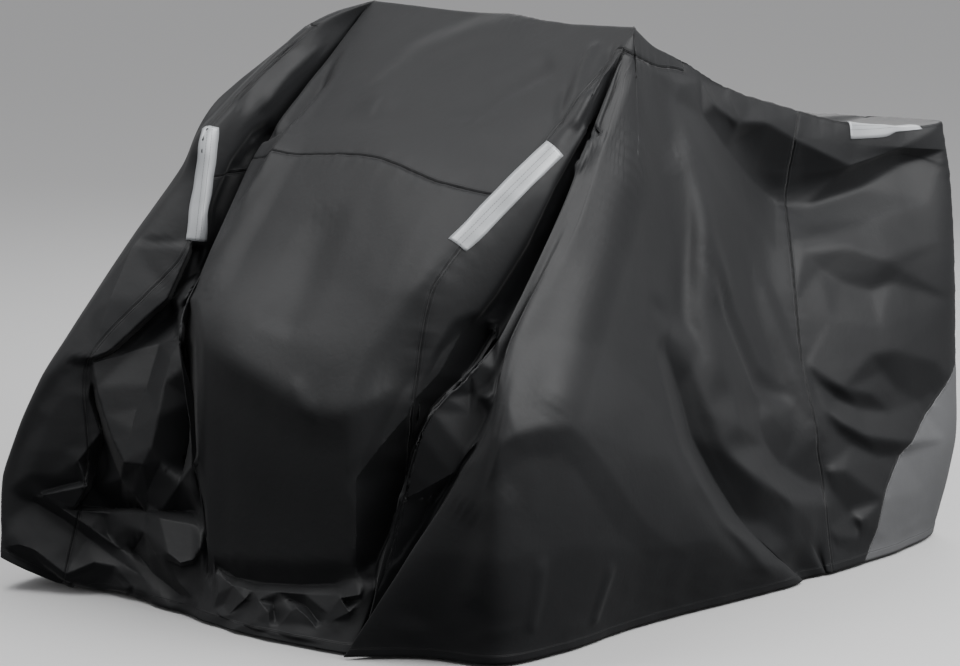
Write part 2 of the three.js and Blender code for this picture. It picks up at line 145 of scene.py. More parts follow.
# Shape of the draped cloth: the cover's upright sections in millimetres, in order round it
levels = ["crest", "collar", "brow", "waist", "flank", "shoulder", "knee", "hem"]
drape = {
    "leftPeak": (380, -35, 1180),     # the cloth is lifted into two peaks
    "rightPeak": (-380, 38, 1180),
    "peakReach": 65,                  # the seam round each peak
    "rearDrop": 44,                   # from the rear's top edge to its collar
    "stripHalfLength": 140,
    "highestBrow": 0.6,               # share of the way from the collar to the waist
    "tautness": 0.35,                 # 1 pulls each span straight
    "topSag": 45,
    "nearBulge": (0.35, -0.62, -0.72),
    "farBulge": (-0.45, -0.62, -0.62),
    "rowsTo": {"collar": 4, "brow": 12, "waist": 8, "flank": 12, "shoulder": 12, "knee": 14, "hem": 14},
}
hood = [
    dict(at="hoodRight", steps=14, waist=(-345, -390, 885), flank=(-299, -580, 691),
         shoulder=(-255, -700, 561), knee=(-172, -714, 125), hem=(-168, -742, 0), sharp=0.7),
    dict(at="noseRight", steps=14, crest=(-190, 22, 1178), waist=(-180, -392, 908),
         shoulder=(-130, -722, 560), knee=(-125, -716, 118), hem=(-125, -750, 0)),
    dict(at="noseMiddle", steps=14, crest=(0, 8, 1176), waist=(0, -398, 918),
         shoulder=(0, -728, 520), knee=(0, -724, 110), hem=(0, -766, 0)),
    dict(at="noseLeft", steps=14, crest=(190, -12, 1172), waist=(190, -418, 885), flank=(208, -590, 690),
         shoulder=(212, -718, 470), knee=(234, -714, 110), hem=(230, -754, 0), sharp=0.3),
]
leftSide = [
    dict(at="hoodSeam", steps=8, waist=(335, -392, 868), flank=(293, -555, 706), shoulder=(284, -602, 500),
         knee=(280, -640, 250), hem=(244, -720, 0)),
    dict(at="seamRidge", steps=7, waist=(390, -309, 868), flank=(350, -452, 672),
         shoulder=(302, -590, 505),
         knee=(290, -615, 260), hem=(248, -706, 0), sharp=0.5),
    dict(at="hoodValley", steps=14, waist=(372, -235, 838), flank=(362, -350, 670),
         shoulder=(340, -480, 530),
         knee=(312, -600, 270), hem=(256, -686, 0)),
    dict(at="innerPleat", steps=7, waist=(438, -340, 845), flank=(462, -575, 608),
         shoulder=(398, -697, 478),
         knee=(318, -715, 245), hem=(256, -734, 0), sharp=0.9),
    dict(at="pleatTrough", steps=7, waist=(447, -335, 832), flank=(472, -535, 615),
         shoulder=(452, -610, 465),
         knee=(352, -655, 230), hem=(282, -698, 0)),
    dict(at="outerPleat", steps=10, waist=(454, -332, 822), flank=(482, -555, 615),
         shoulder=(500, -646, 448),
         knee=(372, -722, 215), hem=(250, -782, 0), sharp=0.9),
    dict(at="toePanel", steps=10, waist=(460, -326, 814), flank=(494, -540, 615),
         shoulder=(522, -645, 452),
         knee=(470, -690, 220), hem=(372, -676, 0)),
    dict(at="nearCorner", steps=12, waist=(467, -312, 806), flank=(508, -495, 610),
         shoulder=(545, -625, 455),
         knee=(552, -645, 215), hem=(520, -628, 0)),
    dict(at="bulgeFront", steps=15, waist=(473, -225, 796), flank=(528, -370, 610),
         shoulder=(580, -471, 455),
         knee=(592, -470, 215), hem=(550, -450, 0)),
    dict(at="bulgeRear", steps=18, waist=(478, -155, 762), flank=(535, -220, 560),
         shoulder=(584, -262, 362),
         knee=(585, -255, 170), hem=(538, -215, 0)),
    dict(at="frontTongue", steps=10, waist=(480, -92, 722), flank=(530, -130, 545),
         shoulder=(572, -110, 350),
         knee=(602, 30, 155), hem=(572, 255, 0)),
    dict(at="softValley", steps=8, crest=(362, 60, 1132), drop=45, waist=(446, 45, 755),
         flank=(490, -15, 575), shoulder=(524, -10, 390), knee=(550, 130, 165), hem=(552, 325, 0)),
    dict(at="backTongue", steps=18, crest=(350, 170, 1092), drop=26, waist=(455, 130, 780),
         flank=(505, 75, 600), shoulder=(556, 62, 400), knee=(586, 195, 200), hem=(562, 390, 0)),
    dict(at="sagPocket", steps=12, crest=(347, 340, 1018), waist=(352, 420, 772), flank=(440, 300, 585),
         shoulder=(498, 270, 400), knee=(530, 300, 225), hem=(560, 404, 0)),
    dict(at="sideSeam", steps=11, crest=(365, 560, 955), waist=(350, 535, 762), flank=(445, 440, 590),
         shoulder=(502, 395, 420), knee=(554, 392, 220), hem=(570, 416, 0)),
    dict(at="rearPanel", steps=11, crest=(400, 699, 920), waist=(388, 685, 778), flank=(478, 610, 600),
         shoulder=(530, 565, 420), knee=(565, 552, 215), hem=(570, 540, 0)),
    dict(at="rearQuarter", steps=11, crest=(432, 868, 896), waist=(425, 850, 815), flank=(505, 790, 610),
         shoulder=(545, 745, 420), knee=(568, 740, 210), hem=(560, 700, 0)),
]
tail = [
    dict(at="rearCorner", steps=14, crest=(450, 985, 900), waist=(478, 985, 760), flank=(505, 962, 600),
         shoulder=(522, 945, 410), knee=(528, 940, 200), hem=(500, 900, 0), sharp=0.2),
    dict(at="tailLeft", steps=14, crest=(230, 1010, 890), waist=(240, 1025, 760), flank=(250, 1022, 600),
         shoulder=(255, 1012, 410), knee=(255, 1000, 200), hem=(245, 950, 0)),
    dict(at="tailMiddle", steps=14, crest=(0, 1015, 884), waist=(0, 1030, 760), flank=(0, 1030, 600),
         shoulder=(0, 1020, 410), knee=(0, 1008, 200), hem=(0, 960, 0)),
    dict(at="tailRight", steps=14, crest=(-230, 1010, 888), waist=(-240, 1025, 760),
         flank=(-250, 1022, 600),
         shoulder=(-255, 1012, 410), knee=(-255, 1000, 200), hem=(-245, 950, 0)),
]
farFront = [
    dict(at="farTent", steps=16, waist=(-490, -150, 800), flank=(-560, -260, 600),
         shoulder=(-640, -360, 430),
         knee=(-690, -380, 200), hem=(-680, -380, 0)),
    dict(at="farBulge", steps=11, collar=(-440, -60, 1135), brow=(-475, -320, 1000),
         waist=(-508, -385, 870),
         flank=(-580, -495, 680), shoulder=(-670, -600, 440), knee=(-718, -640, 225), hem=(-712, -690, 34)),
    dict(at="farOutline", steps=11, collar=(-425, -120, 1140), brow=(-450, -422, 954),
         waist=(-468, -472, 850),
         flank=(-506, -575, 716), shoulder=(-606, -748, 450), knee=(-675, -795, 240), hem=(-668, -812, 64)),
    dict(at="flapSeam", steps=6, collar=(-405, -130, 1135), brow=(-414, -434, 956),
         waist=(-404, -468, 848),
         flank=(-404, -540, 690), shoulder=(-512, -708, 488), knee=(-545, -680, 260), hem=(-590, -716, 0)),
    dict(at="flapEdge", steps=10, brow=(-402, -350, 950), waist=(-402, -398, 846), flank=(-386, -508, 692),
         shoulder=(-500, -700, 492), knee=(-520, -650, 265), hem=(-560, -708, 0), sharp=0.8),
    dict(at="tongueLeft", steps=11, waist=(-410, -300, 850), flank=(-390, -420, 680),
         shoulder=(-420, -590, 515), knee=(-430, -672, 295), hem=(-430, -686, 0)),
    dict(at="tongueEdge", steps=9, waist=(-402, -290, 850), flank=(-375, -430, 685),
         shoulder=(-285, -680, 540), knee=(-342, -702, 300), hem=(-300, -715, 0), sharp=0.8),
    dict(at="tongueSlot", steps=7, waist=(-385, -310, 860), flank=(-350, -480, 690),
         shoulder=(-268, -685, 548), knee=(-215, -650, 310), hem=(-215, -725, 0)),
]
# The hidden far side hangs as the near side's mirror image
mirrored = ["rearCorner", "rearQuarter", "rearPanel", "sideSeam", "sagPocket", "backTongue",
            "softValley", "frontTongue"]


def mirrorSections():
    near = {section["at"]: section for section in leftSide + tail}
    flip = lambda value: (-value[0], value[1], value[2]) if isinstance(value, tuple) else value
    far = [{key: flip(value) for key, value in near[name].items()} for name in mirrored]
    steps = [section["steps"] for section in far[1:]] + [near["bulgeRear"]["steps"]]
    for section, width in zip(far, steps):
        section.update(at=section["at"] + "Far", steps=width)
    return far


noLength = 1e-9


def glide(a, b, c, d, t, slackB, slackC):
    # cubic from b to c that leaves and arrives along its neighbours, straight where slack is 0
    chord = c - b
    leave = (c - a) * 0.5 * slackB + chord * (1 - slackB)
    arrive = (d - b) * 0.5 * slackC + chord * (1 - slackC)
    point = b * (2 * t ** 3 - 3 * t ** 2 + 1) + leave * (t ** 3 - 2 * t ** 2 + t)
    point = point + c * (3 * t ** 2 - 2 * t ** 3) + arrive * (t ** 3 - t ** 2)
    return np.where(np.abs(chord).max(axis=-1, keepdims=True) < noLength, b, point)


def unit(vectors):
    # each vector at length 1
    return vectors / np.maximum(np.linalg.norm(vectors, axis=-1, keepdims=True), 1e-12)


def completeSections():
    far = mirrorSections()
    groups = [(hood, "rightPeak"), (leftSide, "leftPeak"), (tail, "leftPeak"), (far, "rightPeak"),
              (farFront, "rightPeak")]
    whole = []
    for group, peak in groups:
        for section in group:
            full = {key: np.array(value, float) if isinstance(value, tuple) else value
                    for key, value in section.items()}
            full.setdefault("crest", np.array(drape[peak], float))
            full.setdefault("flank", (full["waist"] + full["shoulder"]) / 2)
            full.setdefault("sharp", 0.0)
            whole.append(full)
    return whole


sections = completeSections()
names = [section["at"] for section in sections]
count = len(sections)


def layCollars(first, last, bulge):
    # round a peak the collar is an even arc, so the folds only start below it
    start, end = names.index(first), names.index(last)
    end += count if end < start else 0
    toward = [unit(sections[k % count]["waist"] - sections[k % count]["crest"]) for k in (start, end)]
    for k in range(start, end + 1):
        s = (k - start) / (end - start)
        middle = np.array(drape[bulge]) * 2 * s * (1 - s)
        direction = unit(toward[0] * (1 - s) ** 2 + middle + toward[1] * s ** 2)
        section = sections[k % count]
        section.setdefault("collar", section["crest"] + direction * drape["peakReach"])


layCollars("hoodSeam", "frontTongue", "nearBulge")
layCollars("frontTongueFar", "hoodRight", "farBulge")
slack = 1 - drape["tautness"]
for section in sections:
    usualDrop = drape["peakReach"] if section["at"] in [part["at"] for part in hood] else drape["rearDrop"]
    fall = unit(section["waist"] - section["crest"])
    section.setdefault("collar", section["crest"] + fall * section.get("drop", usualDrop))
    reach = np.linalg.norm(section["waist"] - section["collar"])
    share = max(drape["highestBrow"], 1 - drape["stripHalfLength"] / reach)
    if "brow" not in section:
        section["brow"] = glide(section["crest"], section["collar"], section["waist"], section["flank"],
                                share, slack, slack)
places = np.array([[section[level] for level in levels] for section in sections])
sharpness = np.array([section["sharp"] for section in sections])


def skirtRows():
    rows = [(0, 0.0)]
    for index, level in enumerate(levels[1:]):
        steps = drape["rowsTo"][level]
        rows += [(index, k / steps) for k in range(1, steps + 1)]
    return rows


rows = skirtRows()
turns = [(i, k / section["steps"]) for i, section in enumerate(sections) for k in range(section["steps"])]
columnOf = {name: turns.index((i, 0.0)) for i, name in enumerate(names)}
rowOf = {level: rows.index((index, 1.0)) for index, level in enumerate(levels[1:])}
rowOf["crest"] = 0


def skirtPoints():
    # every row of points round the cover, from the sections' curves
    down = []
    for level, t in rows:
        before, after = max(level - 1, 0), min(level + 2, len(levels) - 1)
        down.append(glide(places[:, before], places[:, level], places[:, level + 1], places[:, after],
                          t, slack, slack))
    down = np.array(down)
    index = np.array([turn[0] for turn in turns])
    share = np.array([turn[1] for turn in turns])[None, :, None]
    corners = [down[:, (index + k) % count] for k in (-1, 0, 1, 2)]
    slackB = 1 - sharpness[index][None, :, None]
    slackC = 1 - sharpness[(index + 1) % count][None, :, None]
    return glide(*corners, share, slackB, slackC)


skirt = skirtPoints()


def topPoints():
    # the top fills the ring of crests behind the peaks and sags between its edges
    crests = skirt[0]
    ridge = crests[columnOf["hoodRight"]:columnOf["hoodSeam"] + 1]
    near = crests[columnOf["frontTongue"]:columnOf["rearCorner"] + 1]
    far = crests[columnOf["rearCornerFar"]:columnOf["frontTongueFar"] + 1][::-1]
    end = crests[columnOf["rearCorner"]:columnOf["rearCornerFar"] + 1][::-1]
    u = np.linspace(0, 1, len(ridge))[:, None, None]
    v = ((near[:, 1] - near[0, 1]) / (near[-1, 1] - near[0, 1]))[None, :, None]
    top = far[None] * (1 - u) + near[None] * u + ridge[:, None] * (1 - v) + end[:, None] * v
    top -= ridge[0] * (1 - u) * (1 - v) + ridge[-1] * u * (1 - v) + end[0] * (1 - u) * v + end[-1] * u * v
    top[:, :, 2] -= (drape["topSag"] * np.sin(math.pi * v) * np.sin(math.pi * u))[:, :, 0]
    top[:, 0], top[:, -1], top[0], top[-1] = ridge, end, far, near
    return top


top = topPoints()
everyPoint = np.concatenate([skirt.reshape(-1, 3), top.reshape(-1, 3)]) * mm
shift = (np.array(cadLow) + np.array(cadHigh)) / 2 - (everyPoint.min(0) + everyPoint.max(0)) / 2
shift[2] = cadLow[2] - everyPoint[:, 2].min()
print("sections laid, shift", shift.round(4), "columns", len(turns), "rows", len(rows))

# One mesh of the whole cover, with each face's panel
panelStarts = [("hood_panel", "hoodRight"), ("front_left_panel", "hoodSeam"),
               ("rear_left_panel", "sideSeam"), ("tail_panel", "rearCorner"),
               ("rear_right_panel", "rearCornerFar"), ("front_right_panel", "sideSeamFar"),
               ("hood_panel", "flapSeam")]
panelNames = ["top_panel", "hood_panel", "front_left_panel", "front_right_panel", "rear_left_panel",
              "tail_panel", "rear_right_panel", "grey_panel"]


def panelAt(column, row):
    panel = [name for name, start in panelStarts if column >= columnOf[start]][-1]
    if panel == "hood_panel":
        return "top_panel" if row < rowOf["waist"] else panel
    onNearPeak = columnOf["hoodSeam"] <= column < columnOf["backTongue"]
    onFarPeak = columnOf["backTongueFar"] <= column < columnOf["flapSeam"]
    return "top_panel" if row < rowOf["collar"] and (onNearPeak or onFarPeak) else panel


def gridMesh(points, panels):
    # a grid of faces over rows of points, each face tagged with its panel
    high, wide = points.shape[:2]
    bm = bmesh.new()
    tag = bm.faces.layers.int.new("panel")
    bmesh.ops.create_grid(bm, x_segments=wide - 1, y_segments=high - 1, size=1)
    for vertex in bm.verts:
        column = round((vertex.co.x + 1) / 2 * (wide - 1))
        row = round((vertex.co.y + 1) / 2 * (high - 1))
        vertex.index = row * wide + column
    for face in bm.faces:
        middleX = sum(v.co.x for v in face.verts) / 4
        middleY = sum(v.co.y for v in face.verts) / 4
        column = int((middleX + 1) / 2 * (wide - 1))
        row = int((middleY + 1) / 2 * (high - 1))
        face[tag] = panels(column, row)
    flat = points.reshape(-1, 3)
    for vertex in bm.verts:
        vertex.co = Vector(flat[vertex.index])
    return bm


def wholeCover():
    ring = np.concatenate([skirt, skirt[:, :1]], axis=1) * mm + shift
    bm = gridMesh(ring, lambda column, row: panelNames.index(panelAt(column, row)))
    bmesh.ops.reverse_faces(bm, faces=bm.faces)
    other = meshFrom(gridMesh(top * mm + shift, lambda column, row: 0), "top")
    bm.from_mesh(other)
    bpy.data.meshes.remove(other)
    bmesh.ops.remove_doubles(bm, verts=bm.verts, dist=weld)
    bmesh.ops.recalc_face_normals(bm, faces=bm.faces)
    return meshFrom(bm, "cover")


coverMesh = wholeCover()
print("whole cover", len(coverMesh.vertices), "points", len(coverMesh.polygons), "faces")


def meshArrays(mesh):
    points = np.empty(len(mesh.vertices) * 3)
    mesh.vertices.foreach_get("co", points)
    normals = np.empty(len(mesh.vertices) * 3)
    mesh.vertices.foreach_get("normal", normals)
    return points.reshape(-1, 3), normals.reshape(-1, 3)


def setPoints(mesh, points):
    mesh.vertices.foreach_set("co", points.ravel())
    mesh.update()


# Folds pressed into the cloth along lines of the photograph's pixels, with sizes in millimetres.
# A height above 0 is a ridge and below 0 a valley, crisp folds come to an edge, and folds with both
# are pressed into the hidden side as well.
def fold(height, width, *pixels, crisp=False, both=False):
    return {"height": height, "width": width, "pixels": pixels, "crisp": crisp, "both": both}


folds = [
    # side of the tent, from the near peak back to the side seam
    fold(10, 90, (640, 120), (600, 250), (560, 370), (545, 425)),
    fold(9, 90, (668, 140), (698, 225), (735, 325), both=True),
    fold(-9, 45, (700, 230), (732, 320), (756, 380), (785, 410), (812, 440), both=True),
    fold(10, 50, (745, 250), (775, 330), (800, 390), (815, 425), (824, 450), both=True),
    fold(-6, 70, (475, 500), (448, 555), (425, 600), (405, 640)),
    fold(4, 50, (508, 480), (490, 560), (470, 620)),
    fold(4, 24, (543, 555), (537, 600), (528, 640)),
    fold(4, 24, (612, 560), (600, 600), (590, 632)),
    fold(5, 30, (724, 92), (731, 108), (740, 126), crisp=True),
    # pleats between the tent and the hood
    fold(-16, 40, (632, 40), (612, 90), (588, 142), (562, 190), (535, 250), (505, 300), (470, 345),
         (448, 370)),
    fold(9, 30, (628, 70), (605, 115), (575, 175), (545, 235), (510, 295), (480, 350), crisp=True),
    fold(5, 30, (490, 448), (456, 473), (440, 500), (417, 530), (393, 560), (373, 587), (350, 613),
         (332, 630), crisp=True),
    # hood
    fold(10, 60, (300, 115), (262, 190), (228, 250), (205, 310)),
    fold(-6, 80, (330, 200), (300, 290), (270, 340)),
    fold(9, 80, (196, 337), (230, 360), (268, 382), (296, 402), (312, 413), (340, 413), (380, 396),
         (414, 378), crisp=True),
    fold(5, 30, (290, 380), (306, 405), (322, 412), crisp=True),
    fold(10, 34, (197, 340), (198, 400), (196, 470), (194, 540), crisp=True),
    fold(9, 36, (357, 478), (358, 520), (357, 566), crisp=True),
    fold(-16, 50, (190, 566), (240, 585), (290, 592), (335, 590), (356, 572), crisp=True),
    # top between the peaks
    fold(11, 90, (560, 20), (480, 32), (430, 52), (388, 88), (365, 125)),
    fold(-8, 70, (560, 60), (500, 90), (450, 130)),
    fold(8, 26, (598, 40), (583, 70), (572, 110), crisp=True),
    fold(-8, 20, (612, 44), (600, 75), (588, 100), crisp=True),
    fold(6, 20, (590, 92), (580, 112), (570, 130), crisp=True),
    fold(-6, 18, (566, 85), (560, 110), (563, 130), crisp=True),
    fold(-18, 36, (345, 45), (318, 88), (290, 122), (258, 140), (238, 168), (222, 205), (208, 245)),
    fold(10, 30, (352, 40), (325, 85), (302, 118), (286, 142), (258, 185), (227, 233), crisp=True),
    fold(8, 22, (300, 118), (273, 129), (248, 152), (238, 170), crisp=True),
    fold(9, 40, (325, 40), (285, 75), (255, 115), crisp=True),
    fold(-8, 34, (300, 40), (262, 75), (235, 115)),
]

# Flat facets between creases: each corner has its pixel in the photograph and how far the cloth
# stands nearer to the camera there, in millimetres. Facets are stretched between the corners.
facets = {
    "rearPanel": [
        (790, 225, 0), (795, 300, 0), (805, 360, 0), (815, 420, 0), (824, 470, 0), (828, 530, 0),
        (832, 560, 0), (860, 556, 0), (888, 540, 0), (925, 490, 0), (945, 440, 0), (952, 380, 0),
        (955, 300, 0), (945, 240, 0), (870, 220, 0), (812, 226, 0),
        (803, 252, 8), (825, 249, 14), (850, 247, 19), (887, 259, 18), (901, 268, 6), (820, 271, -13),
        (843, 284, -21), (870, 291, -22), (891, 283, -13), (832, 318, 6), (880, 326, 10), (873, 355, 16),
        (898, 351, 18), (938, 363, 13), (882, 372, -10), (897, 390, -21), (919, 401, -24), (811, 366, 6),
        (845, 389, 16), (872, 394, 6), (815, 380, -5), (838, 399, -19), (860, 408, -19), (890, 411, -18),
        (829, 412, 6), (848, 426, 16), (868, 437, 14), (907, 443, 13), (835, 429, -8), (854, 444, -21),
        (877, 455, -21), (902, 455, -14), (845, 470, 10), (863, 520, 19), (829, 487, -8), (848, 512, -22),
        (857, 529, -6), (885, 500, 6), (838, 537, 5), (860, 537, 5), (838, 548, -4),
    ],
    "sideSag": [
        (650, 68, 0), (700, 80, 0), (760, 100, 0), (810, 113, 0), (860, 128, 0), (940, 124, 0),
        (945, 150, 0), (930, 200, 0), (860, 225, 0), (805, 238, 0), (775, 250, 0), (740, 215, 0),
        (705, 160, 0), (675, 100, 0),
        (684, 84, 10), (715, 106, 25), (737, 123, 32), (766, 123, 32), (800, 142, 32), (850, 166, 32),
        (900, 148, 25), (932, 131, 10), (702, 115, -20), (724, 147, -35), (749, 179, -42), (775, 203, -38),
        (806, 206, -38), (860, 188, -35), (900, 164, -22),
    ],
    "frontBulge": [
        (490, 350, 0), (540, 335, 0), (600, 345, 0), (655, 400, 0), (700, 460, 0), (740, 540, 0),
        (725, 590, 0), (650, 612, 0), (560, 632, 0), (480, 632, 0), (478, 560, 0), (484, 490, 0),
        (491, 430, 0),
        (501, 444, 12), (517, 434, 20), (547, 427, 25), (570, 427, 25), (587, 440, 22), (607, 467, 20),
        (630, 503, 17), (650, 527, 13), (690, 557, 6), (506, 470, 3), (530, 457, 8), (560, 454, 9),
        (574, 468, 6), (594, 496, 5), (618, 534, 3), (650, 560, 2),
        (540, 540, 0), (600, 575, 0),
    ],
}
mirroredFacets = ["rearPanel", "sideSag"]

# Crisp facets beside the hood's far edge. Corners hold their pixel and how many millimetres they
# stand toward the camera from the origin. The cloth keeps its place at the rim's corners.
farCorner = {
    "rim": [(140, 236), (112, 275), (88, 315), (58, 358), (34, 402), (16, 450), (8, 490), (5, 520),
            (6, 549), (20, 561), (62, 584), (100, 589), (130, 594), (165, 604), (200, 611), (209, 590),
            (209, 540), (207, 500), (205, 470), (205, 400), (205, 345), (198, 300), (203, 270), (209, 246),
            (190, 240)],
    "creases": [
        # flap, its crisp lower edge and the foot of the step behind it
        [(133, 245, 368), (110, 300, 404), (91, 358, 426)],
        [(190, 248, 398), (167, 298, 412), (140, 322, 416), (110, 350, 421), (91, 358, 426)],
        [(194, 251, 350), (171, 301, 346), (144, 326, 350), (114, 353, 374), (94, 361, 408)],
        # tongue: top, left edge, foot, right edge, a soft fold in its middle
        [(93, 363, 414), (130, 353, 402), (160, 345, 410), (180, 340, 434)],
        [(93, 363, 414), (97, 387, 420), (105, 415, 434), (113, 437, 448), (125, 462, 472),
         (143, 464, 496)],
        [(181, 342, 452), (172, 358, 466), (165, 382, 484), (158, 416, 502), (151, 448, 508),
         (143, 464, 496)],
        [(148, 386, 440), (138, 408, 446), (132, 432, 462)],
        # slot between the tongue and the hood
        [(191, 338, 540), (191, 362, 506), (191, 402, 476), (190, 440, 460), (184, 470, 462)],
        [(197, 338, 606), (198, 400, 620), (198, 456, 604)],
        [(160, 464, 496), (148, 490, 448), (150, 508, 424)],
        # dark sliver and the hollow below it
        [(90, 366, 402), (90, 384, 398), (88, 397, 396), (93, 411, 392), (100, 433, 388), (78, 461, 388),
         (87, 486, 386), (74, 507, 358)],
        [(93, 386, 388), (95, 402, 374), (104, 436, 352), (98, 464, 336), (92, 488, 318), (80, 506, 306)],
        [(80, 506, 306), (112, 508, 296), (143, 508, 318)],
        [(104, 436, 352), (122, 478, 392), (134, 492, 424), (147, 511, 402)],
        # small lit triangle
        [(43, 495, 356), (87, 486, 386)],
        [(46, 490, 346), (82, 481, 366)],
        [(43, 495, 356), (74, 507, 358)],
        # fold from the hood's edge to the tongue's foot, with the dark facet below it
        [(198, 456, 604), (181, 482, 512), (163, 508, 462)],
        [(163, 508, 462), (178, 511, 452), (195, 510, 480)],
        # ledge above the lit facet
        [(74, 510, 344), (110, 513, 360), (147, 513, 438), (165, 511, 452), (196, 514, 486)],
        [(144, 532, 458), (160, 519, 488), (194, 525, 526)],
        [(144, 532, 458), (157, 555, 486), (177, 580, 516), (192, 598, 540)],
        [(157, 555, 486), (168, 553, 534), (180, 563, 560), (193, 560, 568)],
        [(160, 519, 488), (168, 553, 534)],
        [(166, 560, 512), (181, 568, 526), (194, 565, 536)],
        # hollow and band running down to the right
        [(142, 537, 424), (134, 549, 372), (152, 572, 414), (180, 594, 476)],
        [(38, 498, 344), (62, 509, 352), (90, 527, 358), (120, 549, 372), (152, 572, 414)],
        [(104, 517, 352), (108, 534, 350)],
        [(36, 503, 326), (60, 517, 322), (88, 538, 330), (112, 556, 358), (142, 576, 412)],
        # lit plane at the outer foot and its crisp lower edge
        [(9, 546, 336), (20, 545, 344), (35, 550, 350), (66, 574, 354), (94, 562, 360), (115, 566, 374),
         (133, 587, 402)],
        [(13, 553, 330), (34, 556, 338), (65, 580, 342), (94, 569, 350), (113, 573, 362), (126, 590, 390)],
    ],
    "loose": [(48, 418, 390), (74, 420, 392), (40, 450, 382), (66, 450, 384), (30, 474, 366),
              (56, 477, 372), (64, 396, 396), (150, 332, 362), (176, 312, 360), (187, 280, 362),
              (108, 470, 346), (122, 500, 322)],
}


def smoothStep(x):
    x = np.clip(x, 0, 1)
    return x * x * (3 - 2 * x)


pressing = {
    "steps": 12,          # points from one corner of a fold to the next
    "taper": 0.18,        # share of a fold's length that fades out at each end
    "blunt": 0.003,       # a crisp fold's crest is rounded by this, and its flanks are hollowed
    "hollow": 1.8,
    "leastFacing": 0.1,   # cosine to the fold's own facing below which cloth isn't pressed
    "facingFade": 0.4,
}


def coverTree(mesh):
    bm = bmeshOf(mesh)
    tree = BVHTree.FromBMesh(bm)
    bm.free()
    return tree


def foldPath(tree, pixels):
    # the pixels dropped onto the cloth and closely spaced, and how the cloth faces there
    line, directions = [], []
    for a, b in zip(pixels[:-1], pixels[1:]):
        a, b = np.array(a, float), np.array(b, float)
        for t in np.linspace(0, 1, pressing["steps"], endpoint=False):
            hit, normal, _, _ = tree.ray_cast(*pixelRay(*(a + (b - a) * t)))
            if hit is not None:
                line.append(hit)
                directions.append(normal)
    return np.array(line), np.array(directions)


def foldProfile(gap, crisp):
    if crisp:    # a sharp crest between hollow flanks
        return np.clip(1 - np.sqrt(gap ** 2 + pressing["blunt"]), 0, 1) ** pressing["hollow"]
    return np.cos(np.clip(gap, 0, 1) * math.pi / 2) ** 2


def pressFolds(mesh):
    points, normals = meshArrays(mesh)
    tree = coverTree(mesh)
    moved = np.zeros(len(points))
    for fold in folds:
        line, directions = foldPath(tree, fold["pixels"])
        if len(line) < 2:
            print("a fold misses the cloth", fold)
            continue
        width = fold["width"] * mm
        for side in ([1, -1] if fold["both"] else [1]):
            flip = np.array([side, 1, 1])
            centre = np.array([shift[0] * (1 - side), 0, 0])
            path = line * flip + centre
            inside = ((points > path.min(0) - width) & (points < path.max(0) + width)).all(1)
            inside = np.where(inside)[0]
            gaps = np.linalg.norm(points[inside, None] - path[None], axis=2)
            nearest = gaps.argmin(1)
            share = nearest / (len(path) - 1)
            ends = smoothStep(np.minimum(share, 1 - share) / pressing["taper"])
            profile = foldProfile(gaps.min(1) / width, fold["crisp"])
            facing = (normals[inside] * directions[nearest] * flip).sum(1) - pressing["leastFacing"]
            facing = smoothStep(facing / pressing["facingFade"])
            moved[inside] += fold["height"] * mm * profile * ends * facing
    setPoints(mesh, points + normals * moved[:, None])


# Pleats between the hood and the tent: a dark valley, then a lit pleat that turns under at its foot
pleats = {
    "rim": [(470, 312), (452, 320), (425, 366), (398, 396), (365, 448), (343, 480), (343, 550), (350, 582),
            (362, 596), (374, 592), (387, 581), (399, 563), (411, 545), (423, 527), (435, 509), (447, 491),
            (459, 473), (471, 455), (482, 440), (492, 422), (497, 400), (497, 372), (498, 340), (494, 316)],
    "creases": [
        # hood's flank turns into the valley, and the valley's deepest line
        [(462, 332, 808), (440, 373, 828), (415, 400, 846), (407, 417, 848), (380, 448, 858),
         (356, 480, 864), (356, 515, 856), (356, 550, 842)],
        [(491, 335, 736), (477, 358, 746), (461, 380, 772), (444, 394, 786), (430, 409, 786),
         (418, 435, 772), (408, 468, 764), (401, 498, 764), (391, 529, 776), (378, 560, 792)],
        # pleat's crisp edge, its lower crease and its foot
        [(493, 344, 938), (481, 363, 957), (464, 382, 971), (447, 397, 976), (433, 412, 980),
         (421, 436, 973), (411, 469, 950), (404, 500, 926), (394, 531, 903), (381, 562, 880)],
        [(404, 500, 926), (430, 487, 942), (452, 474, 952)],
        [(444, 488, 916), (432, 506, 903), (420, 524, 889), (408, 542, 880), (396, 560, 874)],
        [(472, 376, 956), (470, 394, 944), (469, 412, 950)],
    ],
    "loose": [(490, 385, 946), (488, 412, 950), (478, 434, 956), (464, 452, 958), (477, 396, 950)],
}

# Broad valleys and ridges of the tent's side, between the front bulge and the side seam, which have
# no cut creases and are softened by rounds of averaging
sideBands = {
    "soft": 7,
    "rim": [(625, 290), (640, 340), (650, 392), (664, 442), (686, 490), (712, 535), (748, 574), (775, 581),
            (798, 569), (832, 548), (838, 500), (834, 452), (817, 420), (796, 398), (757, 388), (734, 380),
            (717, 362), (702, 345), (677, 315), (650, 290)],
    "creases": [
        [(656, 350, 668), (668, 392, 652), (681, 442, 634), (702, 483, 596), (727, 525, 528),
         (768, 567, 396)],
        [(664, 350, 612), (677, 390, 556), (690, 438, 534), (711, 478, 486), (736, 518, 430),
         (771, 556, 362)],
        [(648, 308, 666), (672, 333, 602), (693, 367, 552), (710, 408, 532), (727, 450, 508),
         (760, 479, 452), (790, 499, 345)],
        [(758, 420, 368), (793, 424, 262), (814, 441, 230)],
        [(764, 444, 350), (781, 468, 280), (810, 488, 208)],
    ],
    "loose": [(760, 520, 384), (790, 545, 306), (740, 428, 478)],
}

